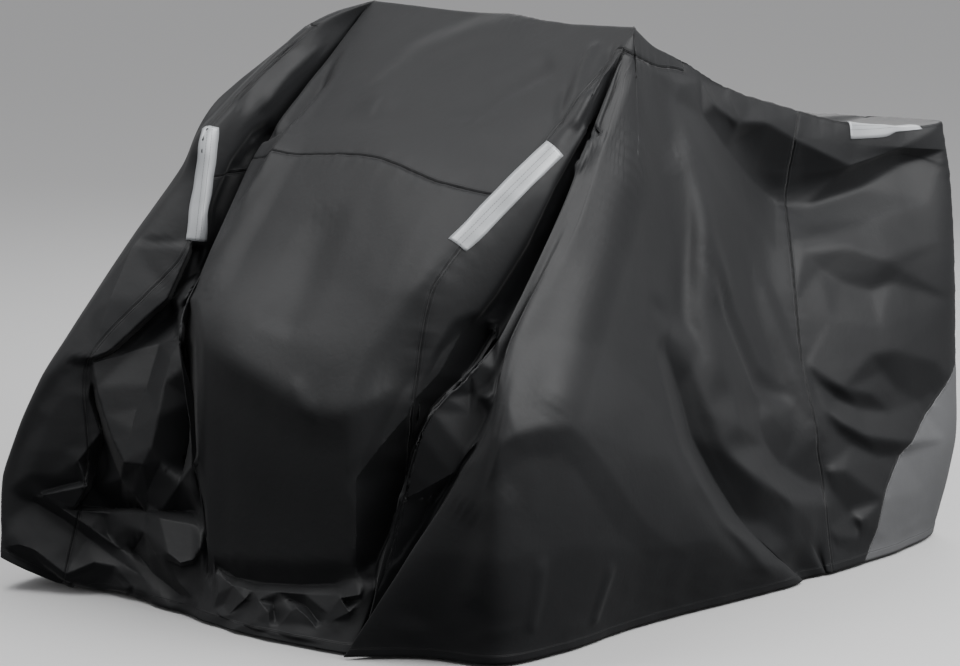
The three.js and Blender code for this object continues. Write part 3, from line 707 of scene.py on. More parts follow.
# Small crumples at the front hem and the tuck at the tent's foot, in millimetres nearer than the cloth
frontHem = {
    "onCloth": True,
    "rim": [(213, 560), (213, 610), (250, 628), (290, 639), (325, 645), (340, 640), (350, 620), (362, 600),
            (366, 584), (356, 566), (300, 560), (250, 558)],
    "creases": [
        [(216, 573, 6), (223, 578, 16), (233, 586, 18), (252, 590, 16), (278, 592, 18), (305, 594, 16),
         (334, 595, 12)],
        [(218, 567, -8), (237, 578, -16), (262, 583, -18), (300, 585, -18), (335, 584, -14),
         (354, 578, -6)],
        [(233, 586, 18), (245, 599, 20), (229, 614, 4)],
        [(223, 578, 16), (218, 593, 14), (222, 605, 0), (229, 614, 4)],
        [(248, 601, 4), (258, 600, 20), (268, 612, 18), (269, 625, 8)],
        [(258, 600, 20), (253, 619, 12)],
        [(273, 604, -6), (275, 620, -8)],
        [(279, 625, 2), (291, 611, 18), (297, 608, 20), (307, 617, 14), (316, 628, 4)],
        [(293, 600, -8), (306, 606, -14), (319, 622, -14)],
        [(309, 598, 14), (326, 612, 8)],
        [(326, 621, 4), (340, 598, 22), (349, 612, 12), (333, 621, 6)],
        [(343, 598, 20), (360, 595, 14)],
        [(347, 602, -8), (355, 600, -6)],
        [(222, 617, 6), (240, 624, -4), (256, 629, 8), (276, 633, 0), (296, 637, 8), (318, 639, 2)],
    ],
    "loose": [(284, 600, 4), (300, 624, 8), (322, 606, 10)],
}

facetValues = {
    "edgeOn": 0.15,        # cosine to the view below which plain facets fade out
    "creasedEdgeOn": 0.1,
    "rounding": 1,         # rounds of averaging after the plain facets
    "average": 0.6,        # weight of a point's neighbours in each round
    "creaseWidth": 1.2,    # pixels from a crease to the edges cut beside it
    "cutReach": 5,         # pixels from a crease to the faces that are cut
    "margin": 25,          # pixels round a group whose cloth is cut on its own
    "snap": 0.0004,        # metres within which a cut takes a point that is there
    "rimShare": 0.5,       # share of the way in from the rim at which the facets have their whole depth
    "farthest": 150,       # millimetres past which the cloth at a facet's pixel is another layer
    "layerFade": 40,
}


def facetField(corners, pixels, edges=()):
    # height at each pixel, on flat facets stretched between the corners
    flat = [Vector(corner[:2]) for corner in corners]
    places, _, triangles, origins, _, _ = delaunay_2d_cdt(flat, list(edges), [], 0, 0.001)
    lost = [tuple(place) for place, origin in zip(places, origins) if not origin]
    if lost:
        print("creases cross at", lost)
    heights = np.array([corners[origin[0]][2] if origin else 0 for origin in origins], float)
    places = np.array(places)
    field = np.zeros(len(pixels))
    for a, b, c in triangles:
        across, down = places[b] - places[a], places[c] - places[a]
        area = across[0] * down[1] - across[1] * down[0]
        offset = pixels - places[a]
        s = (offset[:, 0] * down[1] - offset[:, 1] * down[0]) / area
        t = (across[0] * offset[:, 1] - across[1] * offset[:, 0]) / area
        inside = (s >= 0) & (t >= 0) & (s + t <= 1)
        value = heights[a] * (1 - s - t) + heights[b] * s + heights[c] * t
        field[inside] = value[inside]
    return field


def smoothField(mesh, field, rounds):
    # average over neighbouring points, so that creases are rounded as cloth is
    ends = np.empty(len(mesh.edges) * 2, int)
    mesh.edges.foreach_get("vertices", ends)
    a, b = ends.reshape(-1, 2).T
    valence = np.bincount(ends, minlength=len(field))
    for _ in range(rounds):
        total = np.bincount(a, field[b], len(field)) + np.bincount(b, field[a], len(field))
        field = field * (1 - facetValues["average"])
        field += total / np.maximum(valence, 1) * facetValues["average"]
    return field


def pressFacets(mesh):
    points, normals = meshArrays(mesh)
    for side in (1, -1):
        flip = np.array([side, 1, 1])
        seen = points * flip + np.array([shift[0] * (1 - side), 0, 0])
        toward = unit(cameraPlace - seen)
        facing = smoothStep((toward * normals * flip).sum(1) / facetValues["edgeOn"])
        pixels = pixelsOf(seen)
        field = np.zeros(len(points))
        for name, corners in facets.items():
            if side == 1 or name in mirroredFacets:
                field += facetField(corners, pixels) * facing
        field = smoothField(mesh, field, facetValues["rounding"])
        points = points + toward * flip * (field * mm)[:, None]
    setPoints(mesh, points)


def nearSegment(pixels, a, b):
    # distance in pixels from the stretch between two corners
    a, b = np.array(a[:2], float), np.array(b[:2], float)
    share = np.clip(((pixels - a) @ (b - a)) / ((b - a) @ (b - a)), 0, 1)
    return np.linalg.norm(pixels - a - share[:, None] * (b - a), axis=1)


def cutAlong(bm, region, a, b):
    # edges laid across the region's faces in line with the camera and two corners, and beside them
    side = unit(np.array([a[1] - b[1], b[0] - a[0]], float))
    for aside in (-facetValues["creaseWidth"], 0, facetValues["creaseWidth"]):
        faces = list(region)
        near = nearSegment(np.array([region[face] for face in faces]), a, b) < facetValues["cutReach"]
        chosen = [face for face, close in zip(faces, near) if close]
        if not chosen:
            continue
        first = pixelRay(*(np.array(a[:2]) + side * aside))[1]
        second = pixelRay(*(np.array(b[:2]) + side * aside))[1]
        made = bmesh.ops.bisect_plane(bm, geom=withParts(chosen), dist=facetValues["snap"],
                                      plane_co=cameraPlace, plane_no=first.cross(second).normalized())
        for face in chosen:
            del region[face]
        fresh = [item for item in made["geom"] if isinstance(item, bmesh.types.BMFace)]
        centres = pixelsOf(np.array([face.calc_center_median() for face in fresh]))
        region.update(zip(fresh, centres))


def cutCreases(mesh, group):
    # the part of the cloth around the group is cut on its own, which is quicker, and joined again
    centres = pixelsOf(np.array([polygon.center for polygon in mesh.polygons]))
    rim = np.array(group["rim"])
    low, high = rim.min(0) - facetValues["margin"], rim.max(0) + facetValues["margin"]
    around = ((centres > low) & (centres < high)).all(1)
    part, rest = bmeshOf(mesh), bmeshOf(mesh)
    for bm, keep in ((part, around), (rest, ~around)):
        others = [face for face, kept in zip(bm.faces[:], keep) if not kept]
        bmesh.ops.delete(bm, geom=others, context="FACES")
    toward = Vector(cameraPlace)
    faces = [face for face in part.faces if face.normal.dot(toward - face.calc_center_median()) > 0]
    region = dict(zip(faces, pixelsOf(np.array([face.calc_center_median() for face in faces]))))
    for line in group["creases"]:
        for a, b in zip(line[:-1], line[1:]):
            cutAlong(part, region, a, b)
    other = meshFrom(rest, "rest")
    part.from_mesh(other)
    bmesh.ops.remove_doubles(part, verts=part.verts, dist=weld)
    part.to_mesh(mesh)
    part.free()
    bpy.data.meshes.remove(other)


def standing(tree, pixel):
    # how far the cloth stands toward the camera at a pixel, in millimetres from the origin
    hit = tree.ray_cast(*pixelRay(*pixel))[0]
    if hit is None:
        print("a corner misses the cloth", pixel)
        hit = tree.find_nearest(Vector((0, 0, 0)))[0]
    return np.array(hit) @ back / mm


def layFacets(mesh, group):
    # points inside the rim are moved along the view onto flat facets between the creases
    if "soft" not in group:
        cutCreases(mesh, group)
    points, normals = meshArrays(mesh)
    tree = coverTree(mesh)
    corners = {place: (standing(tree, place), 0) for place in group["rim"]}
    for line in group["creases"] + [group["loose"]]:
        for corner in line:
            onCloth = standing(tree, corner[:2]) if group.get("onCloth") else 0
            corners[corner[:2]] = (corner[2] + onCloth, 1)
    keys = list(corners)
    edges = [(keys.index(a[:2]), keys.index(b[:2])) for line in group["creases"]
             for a, b in zip(line[:-1], line[1:])]
    pixels = pixelsOf(points)
    heights, weight = [facetField([(*key, corners[key][k]) for key in keys], pixels, edges) for k in (0, 1)]
    toward = unit(cameraPlace - points)
    facing = smoothStep((toward * normals).sum(1) / facetValues["creasedEdgeOn"])
    change = heights - points @ back / mm
    sameLayer = smoothStep((facetValues["farthest"] - np.abs(change)) / facetValues["layerFade"])
    share = np.clip(weight / facetValues["rimShare"], 0, 1) * facing * sameLayer
    moved = smoothField(mesh, change * share, group.get("soft", 0))
    print("facets moved the cloth by up to", np.abs(moved).max().round(1), "mm")
    setPoints(mesh, points + toward * (moved * mm / (toward @ back))[:, None])


def refine(mesh):
    item = addObject("cover", mesh)
    finer = item.modifiers.new("finer", "SUBSURF")
    finer.levels = finer.render_levels = 1
    graph = bpy.context.evaluated_depsgraph_get()
    mesh = bpy.data.meshes.new_from_object(item.evaluated_get(graph))
    bpy.data.objects.remove(item)
    return mesh


coverMesh = refine(coverMesh)
pressFolds(coverMesh)
pressFacets(coverMesh)
for group in (farCorner, pleats, sideBands, frontHem):
    layFacets(coverMesh, group)
print("folds pressed,", len(coverMesh.polygons), "faces")

# Loose creases that the cloth has everywhere, strongest near the hem
crumple = {
    "spread": 3.2,         # creases per metre along the ground
    "fall": 1.3,           # and up the cloth
    "soft": 5.0,           # heights in millimetres
    "fine": 1.1,
    "fineScale": 17,
    "fineFall": 0.6,
    "hemHeight": 0.17,     # metres of crumpled cloth above the floor
    "hemCreases": 5.5,
    "hemScale": 13,
    "hemFall": 1.6,
    "plainHem": 0.6,       # share of a crease's height that lies in the cloth
    "besideFront": 0.25,   # share of the hem's creases away from the front
    "nearEnd": 0.3,        # metres across and along at which they fade out
    "nearFade": 0.2,
    "rearFade": 0.4,
    "seed": (3, 1, 7),     # place in the noise
}


def crumpleCloth(mesh):
    points, normals = meshArrays(mesh)
    moved = np.zeros(len(points))
    stretch = Vector((crumple["spread"], crumple["spread"], crumple["fall"]))
    rest = crumple["besideFront"]
    for index, place in enumerate(points):
        place = Vector(place)
        soft = noise.noise(place * stretch + Vector(crumple["seed"])) * crumple["soft"]
        flat = Vector((place.x, place.y, place.z * crumple["fineFall"]))
        moved[index] = soft + noise.noise(flat * crumple["fineScale"]) * crumple["fine"]
        if place.z < crumple["hemHeight"]:
            low = 1 - place.z / crumple["hemHeight"]
            across = min(max((crumple["nearEnd"] - place.x) / crumple["nearFade"], 0), 1)
            along = min(max(-place.y / crumple["rearFade"], 0), 1)
            tall = Vector((place.x, place.y, place.z * crumple["hemFall"]))
            ridged = 1 - 2 * abs(noise.noise(tall * crumple["hemScale"])) - crumple["plainHem"]
            moved[index] += ridged * crumple["hemCreases"] * low * (rest + (1 - rest) * across * along)
    setPoints(mesh, points + normals * (moved * mm)[:, None])


crumpleCloth(coverMesh)
print("cloth crumpled")

# Edge of the grey lower rear panel seen from the side, as y and z in millimetres
grey = {
    "edge": [(520, -30), (548, 12), (578, 60), (612, 140), (690, 222), (800, 290), (900, 362),
             (960, 402), (1010, 415), (1120, 418)],
    "steps": 12,      # points from one place of the edge to the next
    "snap": 0.0008,
}


def greyHeights(y):
    knots = np.array(grey["edge"], float)
    line = []
    for k in range(len(knots) - 1):
        around = [knots[max(k - 1, 0)], knots[k], knots[k + 1], knots[min(k + 2, len(knots) - 1)]]
        line += [glide(*around, t, 1, 1) for t in np.linspace(0, 1, grey["steps"], endpoint=False)]
    line = np.array(line + [knots[-1]]) * mm + shift[1:]
    return np.interp(y, line[:, 0], line[:, 1], left=-1, right=line[-1, 1])


def cutGreyPanel(mesh):
    # heights are measured from the grey edge while the cloth is cut, so the cut is one flat plane
    points, _ = meshArrays(mesh)
    points[:, 2] -= greyHeights(points[:, 1])
    setPoints(mesh, points)
    bm = bmeshOf(mesh)
    tag = bm.faces.layers.int["panel"]
    rear = [panelNames.index(name) for name in ("rear_left_panel", "tail_panel", "rear_right_panel")]
    geometry = withParts([face for face in bm.faces if face[tag] in rear])
    bmesh.ops.bisect_plane(bm, geom=geometry, dist=grey["snap"], plane_co=(0, 0, 0), plane_no=(0, 0, 1))
    for face in bm.faces:
        if face[tag] in rear and face.calc_center_median().z < 0:
            face[tag] = panelNames.index("grey_panel")
    bm.to_mesh(mesh)
    bm.free()
    points, _ = meshArrays(mesh)
    points[:, 2] += greyHeights(points[:, 1])
    setPoints(mesh, points)


cutGreyPanel(coverMesh)
print("grey panel cut")

# Seams: where two panels meet the cloth is doubled and puckers, and the hem is turned up
seamValues = {
    "bandHalfWidth": 4.0,      # millimetres
    "bandHeight": -1.0,        # the thread draws the seam in
    "bandFade": 3.0,
    "pucker": 2.0,
    "puckerReach": 20.0,
    "puckersPerMetre": 70,
    "stitchOffset": 3.5,       # the two rows lie this far each side of the seam
    "stitchLength": 4.2,
    "stitchPitch": 6.0,
    "stitchRise": 1.2,         # in thread radii, the middle of a stitch above the cloth
    "stitchSink": 0.4,         # and its ends below it
    "threadRadius": 0.32,
    "hemWidth": 20.0,
    "hemHeight": 0.8,
    "hemRow": 0.9,             # share of the hem's width at which it is stitched
    "farthest": 0.1,           # metres past which the distance from a seam no longer counts
    "puckered": 0.05,
    "plainBelow": 0.08,        # metres above the floor where puckers start
    "plainFade": 0.1,
    "sampleGap": 0.0015,
    "rowGap": 0.006,
    "fewestPoints": 8,         # a shorter chain isn't stitched
}


def chainEdges(pairs):
    # edges as lists of point numbers that run from one end or crossing to the next
    near = {}
    for a, b in pairs:
        near.setdefault(a, []).append(b)
        near.setdefault(b, []).append(a)
    used = set()
    chains = []
    starts = sorted(near, key=lambda k: (len(near[k]) == 2, k))
    for start in starts:
        for second in near[start]:
            if (start, second) in used:
                continue
            chain = [start, second]
            used.update([(start, second), (second, start)])
            while len(near[chain[-1]]) == 2:
                a, b = near[chain[-1]]
                following = a if b == chain[-2] else b
                if (chain[-1], following) in used:
                    break
                used.update([(chain[-1], following), (following, chain[-1])])
                chain.append(following)
            chains.append(chain)
    return chains


def seamChains(mesh):
    bm = bmeshOf(mesh)
    tag = bm.faces.layers.int["panel"]
    between, hem = [], []
    for edge in bm.edges:
        ends = (edge.verts[0].index, edge.verts[1].index)
        if len(edge.link_faces) == 1:
            hem.append(ends)
        elif edge.link_faces[0][tag] != edge.link_faces[1][tag]:
            between.append(ends)
    bm.free()
    return chainEdges(between), chainEdges(hem)


def spacedLine(points, gap):
    # the same line with points an even distance apart
    steps = np.linalg.norm(np.diff(points, axis=0), axis=1)
    along = np.concatenate([[0], np.cumsum(steps)])
    marks = np.linspace(0, along[-1], max(2, int(along[-1] / gap) + 1))
    return np.stack([np.interp(marks, along, points[:, k]) for k in range(3)], axis=1)


def nearestOn(lines, points):
    # distance of each point from the lines, and the nearest place on them
    samples = np.concatenate([spacedLine(line, seamValues["sampleGap"]) for line in lines])
    tree = KDTree(len(samples))
    for index, sample in enumerate(samples):
        tree.insert(sample, index)
    tree.balance()
    found = [tree.find(point) for point in points]
    distance = np.array([hit[2] for hit in found])
    place = samples[[hit[1] for hit in found]]
    return np.minimum(distance, seamValues["farthest"]), place


def addAttribute(mesh, name, values):
    layer = mesh.attributes.new(name, "FLOAT", "POINT")
    layer.data.foreach_set("value", values)


def workSeams(mesh):
    points, normals = meshArrays(mesh)
    between, hem = seamChains(mesh)
    seamGap, place = nearestOn([points[chain] for chain in between], points)
    hemGap, _ = nearestOn([points[chain] for chain in hem], points)
    pucker = np.zeros(len(points))
    for index in np.where(seamGap < seamValues["puckered"])[0]:
        pucker[index] = noise.noise(Vector(place[index]) * seamValues["puckersPerMetre"])
        pucker[index] += noise.noise(Vector(place[index]) * seamValues["puckersPerMetre"] / 3)
    pucker *= smoothStep((points[:, 2] - seamValues["plainBelow"]) / seamValues["plainFade"])
    fade = seamValues["bandFade"] * mm
    inBand = smoothStep((seamValues["bandHalfWidth"] * mm - seamGap) / fade + 1)
    near = np.exp(-seamGap / (seamValues["puckerReach"] * mm))
    moved = pucker * seamValues["pucker"] * near + inBand * seamValues["bandHeight"]
    moved += smoothStep((seamValues["hemWidth"] * mm - hemGap) / fade) * seamValues["hemHeight"]
    setPoints(mesh, points + normals * (moved * mm)[:, None])
    addAttribute(mesh, "seam", seamGap)
    addAttribute(mesh, "hem", hemGap)
    return between, hem


seamLists, hemLists = workSeams(coverMesh)
print("seams worked:", len(seamLists), "lines")


def mapCloth(mesh):
    # threads run along the two axes that each face looks across, in metres
    normals = np.empty(len(mesh.polygons) * 3)
    mesh.polygons.foreach_get("normal", normals)
    axis = np.abs(normals.reshape(-1, 3)).argmax(1)
    totals = np.empty(len(mesh.polygons), int)
    mesh.polygons.foreach_get("loop_total", totals)
    corners = np.empty(len(mesh.loops), int)
    mesh.loops.foreach_get("vertex_index", corners)
    points, _ = meshArrays(mesh)
    axis = np.repeat(axis, totals)
    across = np.where(axis == 0, 1, 0)
    up = np.where(axis == 2, 1, 2)
    place = points[corners]
    row = np.arange(len(corners))
    layer = mesh.uv_layers.new(name="cloth")
    layer.data.foreach_set("uv", np.stack([place[row, across], place[row, up]], axis=1).ravel())


mapCloth(coverMesh)


# Materials
def linear(hexColour):
    channels = [int(hexColour[k:k + 2], 16) / 255 for k in (1, 3, 5)]
    return [c / 12.92 if c <= 0.04045 else ((c + 0.055) / 1.055) ** 2.4 for c in channels] + [1.0]


def newMaterial(name):
    material = bpy.data.materials.new(name)
    material.use_nodes = True
    material.node_tree.nodes.clear()
    return material


def addNode(material, kind, settings=None, inputs=None):
    tree = material.node_tree
    node = tree.nodes.new(kind)
    for name, value in (settings or {}).items():
        setattr(node, name, value)
    for name, value in (inputs or {}).items():
        if isinstance(value, bpy.types.NodeSocket):
            tree.links.new(value, node.inputs[name])
        else:
            node.inputs[name].default_value = value
    return node


def bumpNode(material, strength, distance, height, under=None):
    # relief with a height in metres, laid over the relief under it
    inputs = {"Strength": strength, "Distance": distance, "Height": height}
    if under is not None:
        inputs["Normal"] = under
    return addNode(material, "ShaderNodeBump", None, inputs).outputs["Normal"]


def noiseNode(material, scale, detail, roughness=0.5, distortion=0.0):
    place = addNode(material, "ShaderNodeTexCoord")
    node = addNode(material, "ShaderNodeTexNoise", None,
                   {"Vector": place.outputs["Object"], "Scale": scale, "Detail": detail,
                    "Roughness": roughness, "Distortion": distortion})
    return node.outputs["Fac"]


def mixed(material, share, first, second, blend="MIX"):
    node = addNode(material, "ShaderNodeMix", {"data_type": "RGBA", "blend_type": blend},
                   {0: share, 6: first, 7: second})
    return node.outputs[2]


def mapped(material, value, source=(0, 1), target=(0, 1)):
    node = addNode(material, "ShaderNodeMapRange", None,
                   {"Value": value, "From Min": source[0], "From Max": source[1],
                    "To Min": target[0], "To Max": target[1]})
    return node.outputs["Result"]


def shaded(colour, share):
    return [c * share for c in colour[:3]] + [1.0]


def withShader(material, inputs):
    shader = addNode(material, "ShaderNodeBsdfPrincipled", None, inputs)
    addNode(material, "ShaderNodeOutputMaterial", None, {"Surface": shader.outputs["BSDF"]})
    return material


polyester = {
    "black": "#242527",
    "grey": "#77787a",
    "roughness": (0.51, 0.63),
    "faded": (0.86, 1.14),     # shares of the colour between which it changes over the cloth
    "fadeScale": 5.0,
    "threadPitch": 0.0016,     # metres; 300D threads lie 0.4 mm apart, drawn coarser so that they show
    "weaveHeight": 0.0002,
    "weaveShade": 0.25,
    "crinkleScale": 55,        # fine creases of the coating, about 18 mm across
    "crinkleHeight": 0.0012,
    "sewnHeight": 0.001,
    # painted shade: in and beside the seams' and hem's grooves the colour is darkened to this share
    "sewnShade": (0.45, 1.0),  # share of the colour left in and beside the seams' grooves
    "seamProfile": [(0, 0.15), (0.04, 1), (0.14, 1), (0.175, 0.25), (0.21, 1), (0.3, 1), (0.36, 0.55)],
    "hemProfile": [(0, 0.9), (0.82, 0.9), (0.88, 0.3), (0.94, 0.85), (1, 0.5)],
}


def bandRamp(material, attribute, stops):
    # height across a sewn band, from its middle line out to 20 mm
    gap = addNode(material, "ShaderNodeAttribute", {"attribute_name": attribute})
    share = addNode(material, "ShaderNodeMath", {"operation": "MULTIPLY"}, {0: gap.outputs["Fac"], 1: 50})
    ramp = addNode(material, "ShaderNodeValToRGB", None, {"Fac": share.outputs[0]})
    elements = ramp.color_ramp.elements
    elements[0].position, elements[1].position = stops[0][0], stops[-1][0]
    for place, _ in stops[1:-1]:
        elements.new(place)
    for element, (_, height) in zip(elements, stops):
        element.color = (height, height, height, 1)
    return ramp.outputs["Color"]


def coatedPolyester(name, colour):
    # polyurethane-coated plain-weave polyester: near-matt with a soft broad gloss
    material = newMaterial(name)
    uv = addNode(material, "ShaderNodeUVMap", {"uv_map": "cloth"})
    waves = []
    for direction in ("X", "Y"):
        wave = addNode(material, "ShaderNodeTexWave", {"wave_type": "BANDS", "bands_direction": direction},
                       {"Vector": uv.outputs["UV"], "Scale": math.pi / 10 / polyester["threadPitch"],
                        "Distortion": 0.4, "Detail": 1.0})
        waves.append(wave.outputs["Fac"])
    weave = addNode(material, "ShaderNodeMath", {"operation": "MULTIPLY"}, {0: waves[0], 1: waves[1]})
    weave = weave.outputs[0]
    crinkle = noiseNode(material, polyester["crinkleScale"], 3.0, 0.55, 0.6)
    fade = noiseNode(material, polyester["fadeScale"], 4.0, 0.6)
    seam = bandRamp(material, "seam", polyester["seamProfile"])
    hem = bandRamp(material, "hem", polyester["hemProfile"])
    sewn = addNode(material, "ShaderNodeMath", {"operation": "ADD"}, {0: seam, 1: hem}).outputs[0]
    relief = bumpNode(material, 0.35, polyester["crinkleHeight"], crinkle)
    relief = bumpNode(material, 0.4, polyester["weaveHeight"], weave, relief)
    relief = bumpNode(material, 1.0, polyester["sewnHeight"], sewn, relief)
    tint = mixed(material, fade, *[shaded(linear(colour), share) for share in polyester["faded"]])
    tint = mixed(material, polyester["weaveShade"], tint, weave, "MULTIPLY")
    # painted shade: the colour darkens where the seams' and hem's sewn bands dip into grooves
    grooveShade = mapped(material, sewn, (0.6, 1.1), polyester["sewnShade"])
    return withShader(material, {
        "Base Color": mixed(material, 1.0, tint, grooveShade, "MULTIPLY"),
        "Roughness": mapped(material, fade, target=polyester["roughness"]),
        "Normal": relief,
        "Sheen Weight": 0.08,
        "Sheen Roughness": 0.4,
        "Specular IOR Level": 0.42,
    })


finishes = {
    "black_cloth": coatedPolyester("black coated polyester", polyester["black"]),
    "grey_cloth": coatedPolyester("grey coated polyester", polyester["grey"]),
}


def panelObject(name):
    mesh = coverMesh.copy()
    mesh.name = name
    bm = bmeshOf(mesh)
    tag = bm.faces.layers.int["panel"]
    others = [face for face in bm.faces if face[tag] != panelNames.index(name)]
    bmesh.ops.delete(bm, geom=others, context="FACES")
    bm.to_mesh(mesh)
    bm.free()
    return addObject("cloth_" + name.replace("_panel", ""), mesh)


def finishPiece(piece, node, slot, thickness, offset):
    # finish, wall and place in the frame of a panel or a strip
    piece.data.materials.clear()
    piece.data.materials.append(finishes[slot])
    wall = piece.modifiers.new("wall", "SOLIDIFY")
    wall.thickness = thickness * mm
    wall.offset = offset
    for polygon in piece.data.polygons:
        polygon.use_smooth = True
    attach(piece, "root")
    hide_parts(node)


clothThickness = 1.5    # millimetres
panels = {}
for name in panelNames:
    panels[name] = panelObject(name)
    slot = "grey_cloth" if name == "grey_panel" else "black_cloth"
    finishPiece(panels[name], name, slot, clothThickness, -1)
print("panels cut:", len(panels))


# Reflective strips, sewn flat over the seams beside the hood and along the rear edges
strips = {
    "halfWidth": 25.0,       # millimetres
    "rearLength": 215.0,
    "thickness": 0.8,
    "lift": 0.8,
    "rearDrops": (14, -26),  # the rear strips' middle line below the top edge, at the front and the rear
    "nearPixels": [(555, 147), (506, 196), (453, 249)],    # middle lines of the front strips in the photo
    "farPixels": [(210, 126), (204, 186), (197, 246)],
    "stitchRows": (-5.0, 5.0),
    "straightened": 0.5,     # share of the way from the cloth's own line to a straight one
    "pointsAcross": 7,
    "gapAlong": 0.007,       # metres
    "stiffening": 6,         # rounds of averaging, because tape is stiffer than the cloth
    "colour": "#c3c6c9",
    "soiled": 0.82,          # share of the colour left where it is darkest
    "roughness": (0.3, 0.48),
    "beadsPerMetre": 2500,   # the glass-bead face is finer; drawn 0.4 mm apart so that it shows
}


def reflectiveTape():
    # grey glass-bead tape, a little soiled and creased
    material = newMaterial("reflective tape")
    place = addNode(material, "ShaderNodeTexCoord")
    beads = addNode(material, "ShaderNodeTexVoronoi", None,
                    {"Vector": place.outputs["Object"], "Scale": strips["beadsPerMetre"]})
    dirt = noiseNode(material, 25.0, 5.0)
    relief = bumpNode(material, 0.25, 0.0002, beads.outputs["Distance"])
    base = linear(strips["colour"])
    return withShader(material, {
        "Base Color": mixed(material, dirt, shaded(base, strips["soiled"]), base),
        "Roughness": mapped(material, dirt, target=strips["roughness"]),
        "Normal": bumpNode(material, 0.3, 0.002, dirt, relief),
        "Metallic": 0.25,
    })


def seamThread():
    # bonded polyester thread, twisted
    material = newMaterial("black polyester thread")
    twist = noiseNode(material, 900.0, 2.0)
    return withShader(material, {
        "Base Color": mixed(material, twist, linear("#111213"), linear("#222325")),
        "Roughness": 0.65,
        "Normal": bumpNode(material, 0.5, 0.0003, twist),
    })


finishes["reflective_tape"] = reflectiveTape()
thread = seamThread()
finalPoints, _ = meshArrays(coverMesh)
clothTree = coverTree(coverMesh)


def lineAbout(line, centre, reach):
    # the stretch of a line that lies within reach of its point nearest to centre
    gap = 0.002
    line = spacedLine(line, gap)
    middle = np.linalg.norm(line - centre, axis=1).argmin()
    return line[max(middle - int(reach / gap), 0):middle + int(reach / gap) + 1]


def sideOf(point, tangent):
    # direction along the cloth, square to a line on it
    _, normal, _, _ = clothTree.find_nearest(Vector(point))
    return unit(np.cross(tangent, np.array(normal)))


def stripMesh(name, line):
    # tape laid on the cloth, with the places of its points and how it faces there
    line = spacedLine(line, strips["gapAlong"])
    tangents = unit(np.gradient(line, axis=0))
    across = np.linspace(-1, 1, strips["pointsAcross"]) * strips["halfWidth"] * mm
    places = np.empty((len(line), len(across), 3))
    facing = np.empty_like(places)
    for i, (point, tangent) in enumerate(zip(line, tangents)):
        side = sideOf(point, tangent)
        for j, offset in enumerate(across):
            hit, normal, _, _ = clothTree.find_nearest(Vector(point + side * offset))
            places[i, j], facing[i, j] = hit, normal
    for _ in range(strips["stiffening"]):
        for values in (places, facing):
            values[1:-1] = (values[:-2] + values[1:-1] * 2 + values[2:]) / 4
    places += unit(facing) * strips["lift"] * mm
    mesh = meshFrom(gridMesh(places, lambda column, row: 0), name)
    middle = len(across) // 2
    if np.dot(np.array(mesh.polygons[len(across) + middle].normal), facing[1, middle]) < 0:
        mesh.flip_normals()
    return mesh, places, unit(facing)


def makeStrip(name, line):
    mesh, places, facing = stripMesh(name, line)
    finishPiece(addObject("tape_" + name, mesh), name, "reflective_tape", strips["thickness"], 1)
    return places, facing


def frontLine(pixels):
    # from the picture where the cloth is seen there, evened out toward a straight line
    line = foldPath(clothTree, pixels)[0]
    straight = line[0] + np.linspace(0, 1, len(line))[:, None] * (line[-1] - line[0])
    return line * (1 - strips["straightened"]) + straight * strips["straightened"]


def rearEdge(first, last):
    # line a little below the top edge, along the columns that the rear strips cover
    columns = skirt[:, columnOf[first]:columnOf[last] + 1]
    drops = np.linalg.norm(columns - columns[:1], axis=2)
    toRear = np.linspace(*strips["rearDrops"], columns.shape[1])
    if first == "rearCornerFar":
        toRear = toRear[::-1]
    line = np.array([[np.interp(toRear[k], drops[:, k], columns[:, k, axis]) for axis in range(3)]
                     for k in range(columns.shape[1])])
    line[:, 0] += np.minimum(toRear, 0) * np.sign(line[:, 0])    # past the edge, onto the top
    return line * mm + shift


stripPlaces = {}
for name, pixels in [("front_left_strip", "nearPixels"), ("front_right_strip", "farPixels")]:
    stripPlaces[name] = makeStrip(name, frontLine(strips[pixels]))
for name, first, last, start in [("rear_left_strip", "rearPanel", "rearCorner", 0),
                                 ("rear_right_strip", "rearCornerFar", "rearPanelFar", -1)]:
    line = rearEdge(first, last)
    stripPlaces[name] = makeStrip(name, lineAbout(line, line[start], strips["rearLength"] * mm))
print("strips laid")


# Stitches, as short arched threads along the seams, the hem and the strips
def stitchCurve(name, lines, finish):
    curve = bpy.data.curves.new(name, "CURVE")
    curve.dimensions = "3D"
    curve.bevel_depth = seamValues["threadRadius"] * mm
    curve.bevel_resolution = 0
    curve.use_fill_caps = True
    share = seamValues["stitchLength"] / seamValues["stitchPitch"]
    for line in lines:
        marks = spacedLine(line, seamValues["stitchPitch"] * mm)
        for a, b in zip(marks[:-1], marks[1:]):
            end = a + (b - a) * share
            place, normal, _, _ = clothTree.find_nearest(Vector((a + end) / 2))
            lift = np.array(normal) * seamValues["threadRadius"] * mm
            spline = curve.splines.new("POLY")
            spline.points.add(2)
            rise, sink = lift * seamValues["stitchRise"], lift * seamValues["stitchSink"]
            for point, where in zip(spline.points, [a - sink, (a + end) / 2 + rise, end - sink]):
                point.co = (*where, 1)
    curve.materials.append(finish)
    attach(addObject(name, curve), "root")
    print(name, len(curve.splines))


def besideSeam(line, offset):
    # the line moved sideways along the cloth
    line = spacedLine(line, seamValues["rowGap"])
    tangents = unit(np.gradient(line, axis=0))
    beside = [point + sideOf(point, tangent) * offset * mm for point, tangent in zip(line, tangents)]
    return np.array([clothTree.find_nearest(Vector(point))[0] for point in beside])


